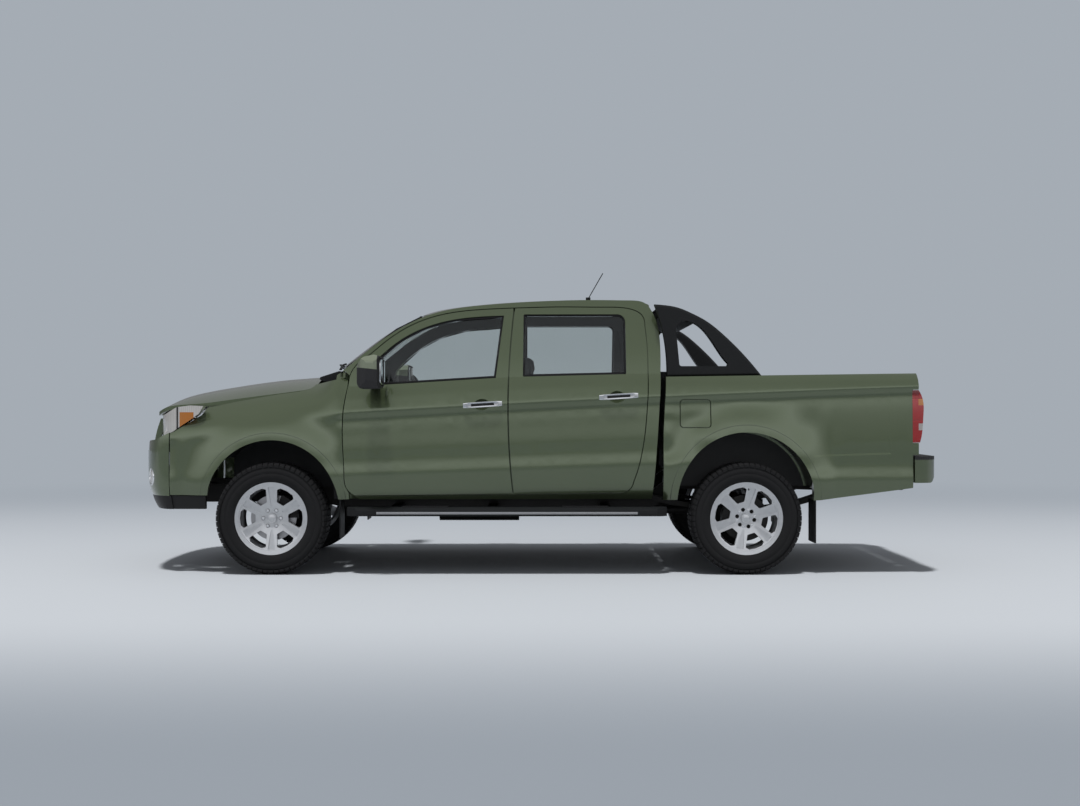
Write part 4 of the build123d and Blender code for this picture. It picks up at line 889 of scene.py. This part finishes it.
# ---------------------------------------------------------------- wipers
# Two black wiper arms rise from the cowl and lay a rubber blade along the foot of the
# windscreen.
def rail(points, wide, thick):
    """A flat bar that follows a few points, which run mostly along Y."""
    bar = fresh("plane", size=1, rotation=(math.pi / 2, 0, 0))
    bar.scale = (wide, thick, 1)
    bpy.ops.object.transform_apply(location=True, rotation=True, scale=True)
    bar.data.transform(Matrix.Translation(points[0]))
    bpy.ops.object.mode_set(mode="EDIT")
    bpy.ops.mesh.select_mode(type="FACE")
    bpy.ops.mesh.select_all(action="SELECT")
    for before, after in zip(points, points[1:]):
        move = {"value": tuple(b - a for a, b in zip(before, after))}
        bpy.ops.mesh.extrude_region_move(TRANSFORM_OT_translate=move)
    bpy.ops.mesh.select_all(action="SELECT")
    bpy.ops.mesh.normals_make_consistent(inside=False)
    bpy.ops.object.mode_set(mode="OBJECT")
    return settle(bar, ("BEVEL", {"width": min(wide, thick) * 0.3, "segments": 2}))


def along_screen(front, across, height):
    """A point at that height in front of the windscreen, whose foot curves back to its sides."""
    return (front + 0.22 * across ** 2, across, height)


for side, start in (("left", -0.66), ("right", 0.06)):
    blade = rail([along_screen(-1.338, start + 0.12 * k, 1.372) for k in range(6)], 0.010, 0.012)
    x, _, z = along_screen(-1.372, start, 1.335)
    pivot = [(x, start - 0.02, z)]
    lift = [along_screen(-1.350, start + 0.1 * k, 1.352 + 0.008 * k) for k in range(1, 4)]
    arm = rail(pivot + lift, 0.018, 0.009)
    done(blade, f"wiper_blade_{side}", window_rubber, "rubber", "truck")
    done(arm, f"wiper_arm_{side}", black_plastic, "black_plastic", "truck")

# ---------------------------------------------------------------- side steps
# A bright anodised strip is pressed into the outer edge of each moulded step, and rubber
# treads lie across its top.
tread_pad = fresh("cube", size=1)
tread_pad.scale = (0.300, 0.085, 0.006)
bpy.ops.object.transform_apply(location=True, rotation=True, scale=True)
bpy.ops.object.mode_set(mode="EDIT")
choose_parts("edges", lambda e: abs(e.verts[0].co.x - e.verts[1].co.x) > 0.1)
bpy.ops.mesh.subdivide(number_cuts=23)
choose_parts("faces", lambda f: f.normal.z > 0.9)
bpy.ops.mesh.inset(thickness=0.003, use_individual=True)
bpy.ops.transform.translate(value=(0, 0, 0.003))
bpy.ops.object.mode_set(mode="OBJECT")
strip = fresh("cube", size=1)
strip.scale = (1.690, 0.004, 0.016)
bpy.ops.object.transform_apply(location=True, rotation=True, scale=True)
settle(strip, ("BEVEL", {"width": 0.0015, "segments": 2}))
strip.data.transform(Matrix.Translation((-0.168, -0.9005, 0.402)))
done(mirrored(strip), "step_strip_right", turned_steel, "wheel_silver", "truck")
done(strip, "step_strip_left", turned_steel, "wheel_silver", "truck")
for number, x in enumerate((-0.70, 0.34)):
    pad = copy_of(tread_pad, Matrix.Translation((x, -0.842, 0.438)))
    done(mirrored(pad), f"step_tread_{number}_right", window_rubber, "rubber", "truck")
    done(pad, f"step_tread_{number}_left", window_rubber, "rubber", "truck")
bpy.data.objects.remove(tread_pad)

# ---------------------------------------------------------------- tailgate handle
# A black pull-handle fills the pocket pressed into the tailgate, with a blank lock barrel
# beside it.
paddle = fresh("cube", size=1, location=(2.503, 0, 1.193))
paddle.scale = (0.014, 0.150, 0.050)
bpy.ops.object.transform_apply(location=True, rotation=True, scale=True)
bpy.ops.object.mode_set(mode="EDIT")
choose_parts("faces", lambda f: f.normal.x > 0.9)
bpy.ops.mesh.inset(thickness=0.007)
bpy.ops.transform.translate(value=(-0.004, 0, 0))
bpy.ops.object.mode_set(mode="OBJECT")
settle(paddle, ("BEVEL", {"width": 0.0025, "segments": 3}))
done(paddle, "tailgate_handle", black_plastic, "black_plastic", "tailgate_body")
lock_place = {"location": (2.4975, 0, 1.158), "rotation": (0, math.pi / 2, 0)}
barrel = fresh("cylinder", vertices=32, radius=0.011, depth=0.010, **lock_place)
bpy.ops.object.transform_apply(location=True, rotation=True, scale=True)
bpy.ops.object.mode_set(mode="EDIT")
choose_parts("faces", lambda f: f.normal.x > 0.9)
bpy.ops.mesh.inset(thickness=0.004)
bpy.ops.transform.translate(value=(-0.002, 0, 0))
bpy.ops.object.mode_set(mode="OBJECT")
settle(barrel, ("BEVEL", {"width": 0.001, "segments": 2}))
done(barrel, "tailgate_lock", chrome, "wheel_silver", "tailgate_body")

# ---------------------------------------------------------------- seats
# Foam cushions in grey woven cloth over a steel frame: two front seats with a leaning back
# and a head restraint each, and a rear bench with one long cushion and back. The covers
# are sewn in channels and stretched over the foam, which presses them out.
cloth = Finish("seat_cloth")
threads, channels = 2600, 52
weave_x = (cloth.axis("Y") * threads).wave()
weave_z = ((cloth.axis("X") + cloth.axis("Z")) * threads).wave()
seam_field = (cloth.axis("Y") * channels).wave()
seams = cloth.step(abs(seam_field), 0.0, 0.16)
shade = cloth.mix(cloth.noise(14) * 0.6 + 0.2 * weave_x, (0.050, 0.052, 0.055), (0.095, 0.097, 0.100))
seat_cloth = cloth.end(
    {
        "Base Color": cloth.mix(seams, (0.020, 0.020, 0.021), shade),
        "Roughness": 0.9 - 0.05 * weave_z,
        "Sheen Weight": 0.25,
        "Normal": cloth.bump(0.15 * weave_x * weave_z + seams * 4.0, 0.0009, 0.7),
    }
)


def pad_form(size, place, narrow_top, dish):
    """A cushion's starting form: a cube with its sides pulled in and its face dished."""
    form = fresh("cube", size=1)
    form.scale = size
    bpy.ops.object.transform_apply(location=True, rotation=True, scale=True)
    bpy.ops.object.mode_set(mode="EDIT")
    bpy.ops.mesh.select_all(action="SELECT")
    bpy.ops.mesh.subdivide(number_cuts=5)
    half_high = size[2] / 2
    choose_parts("verts", lambda v: v.co.z > half_high * 0.6)
    bpy.ops.transform.resize(value=(1, narrow_top, 1), center_override=(0, 0, 0))
    choose_parts("verts", lambda v: abs(v.co.y) < size[1] * 0.2 and abs(v.co.x) < size[0] * 0.45)
    bpy.ops.transform.translate(value=(0, 0, -dish))
    bpy.ops.object.mode_set(mode="OBJECT")
    settle(form, ("BEVEL", {"width": min(size) * 0.22, "segments": 3, "angle_limit": math.radians(40)}))
    form.data.transform(place)
    return form


def plump(form, rise, voxel=0.011):
    """Blows a form up as foam under a cover does, no point further than rise."""
    settle(form, ("REMESH", {"mode": "VOXEL", "voxel_size": voxel}))
    before = [v.co.copy() for v in form.data.vertices]
    bpy.ops.object.select_all(action="DESELECT")
    form.select_set(True)
    bpy.context.view_layer.objects.active = form
    swelling = form.modifiers.new("swelling", "CLOTH")
    swelling.settings.use_pressure = True
    swelling.settings.uniform_pressure_force = 4
    swelling.settings.effector_weights.gravity = 0
    swelling.settings.quality = 5
    swelling.point_cache.frame_start = 1
    swelling.point_cache.frame_end = 20
    for moment in range(1, 21):
        scene.frame_set(moment)
    bpy.ops.object.modifier_apply(modifier=swelling.name)
    for vertex, was in zip(form.data.vertices, before):
        moved = vertex.co - was
        if moved.length > rise:
            vertex.co = was + moved.normalized() * rise
    scene.frame_set(1)
    evened = ("SMOOTH", {"factor": 0.5, "iterations": 3})
    settle(form, evened, ("SUBSURF", {"levels": 1, "render_levels": 1}))
    return form


def pad(size, place, lean, narrow_top, dish, rise):
    """A finished pad of that size, centred on place and leant back by that angle."""
    placed = Matrix.Translation(place) @ Matrix.Rotation(lean, 4, "Y")
    return plump(pad_form(size, placed, narrow_top, dish), rise)


seat_y, front_lean, bench_lean = -0.391, 0.32, 0.18
front_pieces = {
    "cushion": (pad((0.48, 0.43, 0.135), (-0.41, seat_y, 0.785), 0, 0.96, 0.012, 0.010), 0.7),
    "back": (pad((0.105, 0.42, 0.52), (-0.165, seat_y, 1.035), front_lean, 0.86, 0, 0.010), 0.7),
    "headrest": (pad((0.085, 0.24, 0.15), (-0.055, seat_y, 1.345), front_lean, 0.9, 0, 0.008), 0.8),
}
for name, (piece, fill) in front_pieces.items():
    other = mirrored(piece)
    for side, seat in (("right", other), ("left", piece)):
        done(seat, f"front_{name}_{side}", seat_cloth, "seat_cloth", "truck", corner=80)
        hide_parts("front_seats")

bench = {
    "cushion": pad((0.46, 1.18, 0.135), (0.42, 0, 0.775), 0, 0.98, 0.008, 0.010),
    "back": pad((0.10, 1.18, 0.50), (0.685, 0, 1.065), bench_lean, 0.96, 0, 0.010),
}
headrest = pad((0.075, 0.24, 0.12), (0.735, 0, 1.350), bench_lean, 0.9, 0, 0.008)
for number, across in enumerate((-0.38, 0.0, 0.38)):
    bench[f"headrest_{number}"] = copy_of(headrest, Matrix.Translation((0, across, 0)))
bpy.data.objects.remove(headrest)
for name, piece in bench.items():
    done(piece, f"rear_{name}", seat_cloth, "seat_cloth", "truck", corner=80)
    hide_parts("rear_seat")

# ---------------------------------------------------------------- glass
# Toughened side glass and laminated screens, lightly tinted green.
pane = Finish("window_glass")
haze = pane.noise(3)
window_glass = pane.end(
    {
        "Base Color": pane.mix(haze, (0.80, 0.84, 0.82), (0.83, 0.86, 0.85)),
        "Roughness": 0.0,
        "Transmission Weight": 1.0,
        "IOR": 1.45,
    }
)
wear(
    ["windscreen", "rear_window"] + both("front_door_glass", "rear_door_glass"),
    window_glass,
)

# ---------------------------------------------------------------- cab inside
trim = Finish("interior_trim")
leather_grain = trim.node("ShaderNodeTexVoronoi", None, {"Vector": trim.place, "Scale": 500})
interior_trim = trim.end(
    {
        "Base Color": trim.mix(trim.noise(5), (0.035, 0.036, 0.038), (0.055, 0.056, 0.058)),
        "Roughness": 0.7,
        "Normal": trim.bump(leather_grain, 0.0005, 0.5),
    }
)
wear(["dashboard", "steering_wheel"], interior_trim)
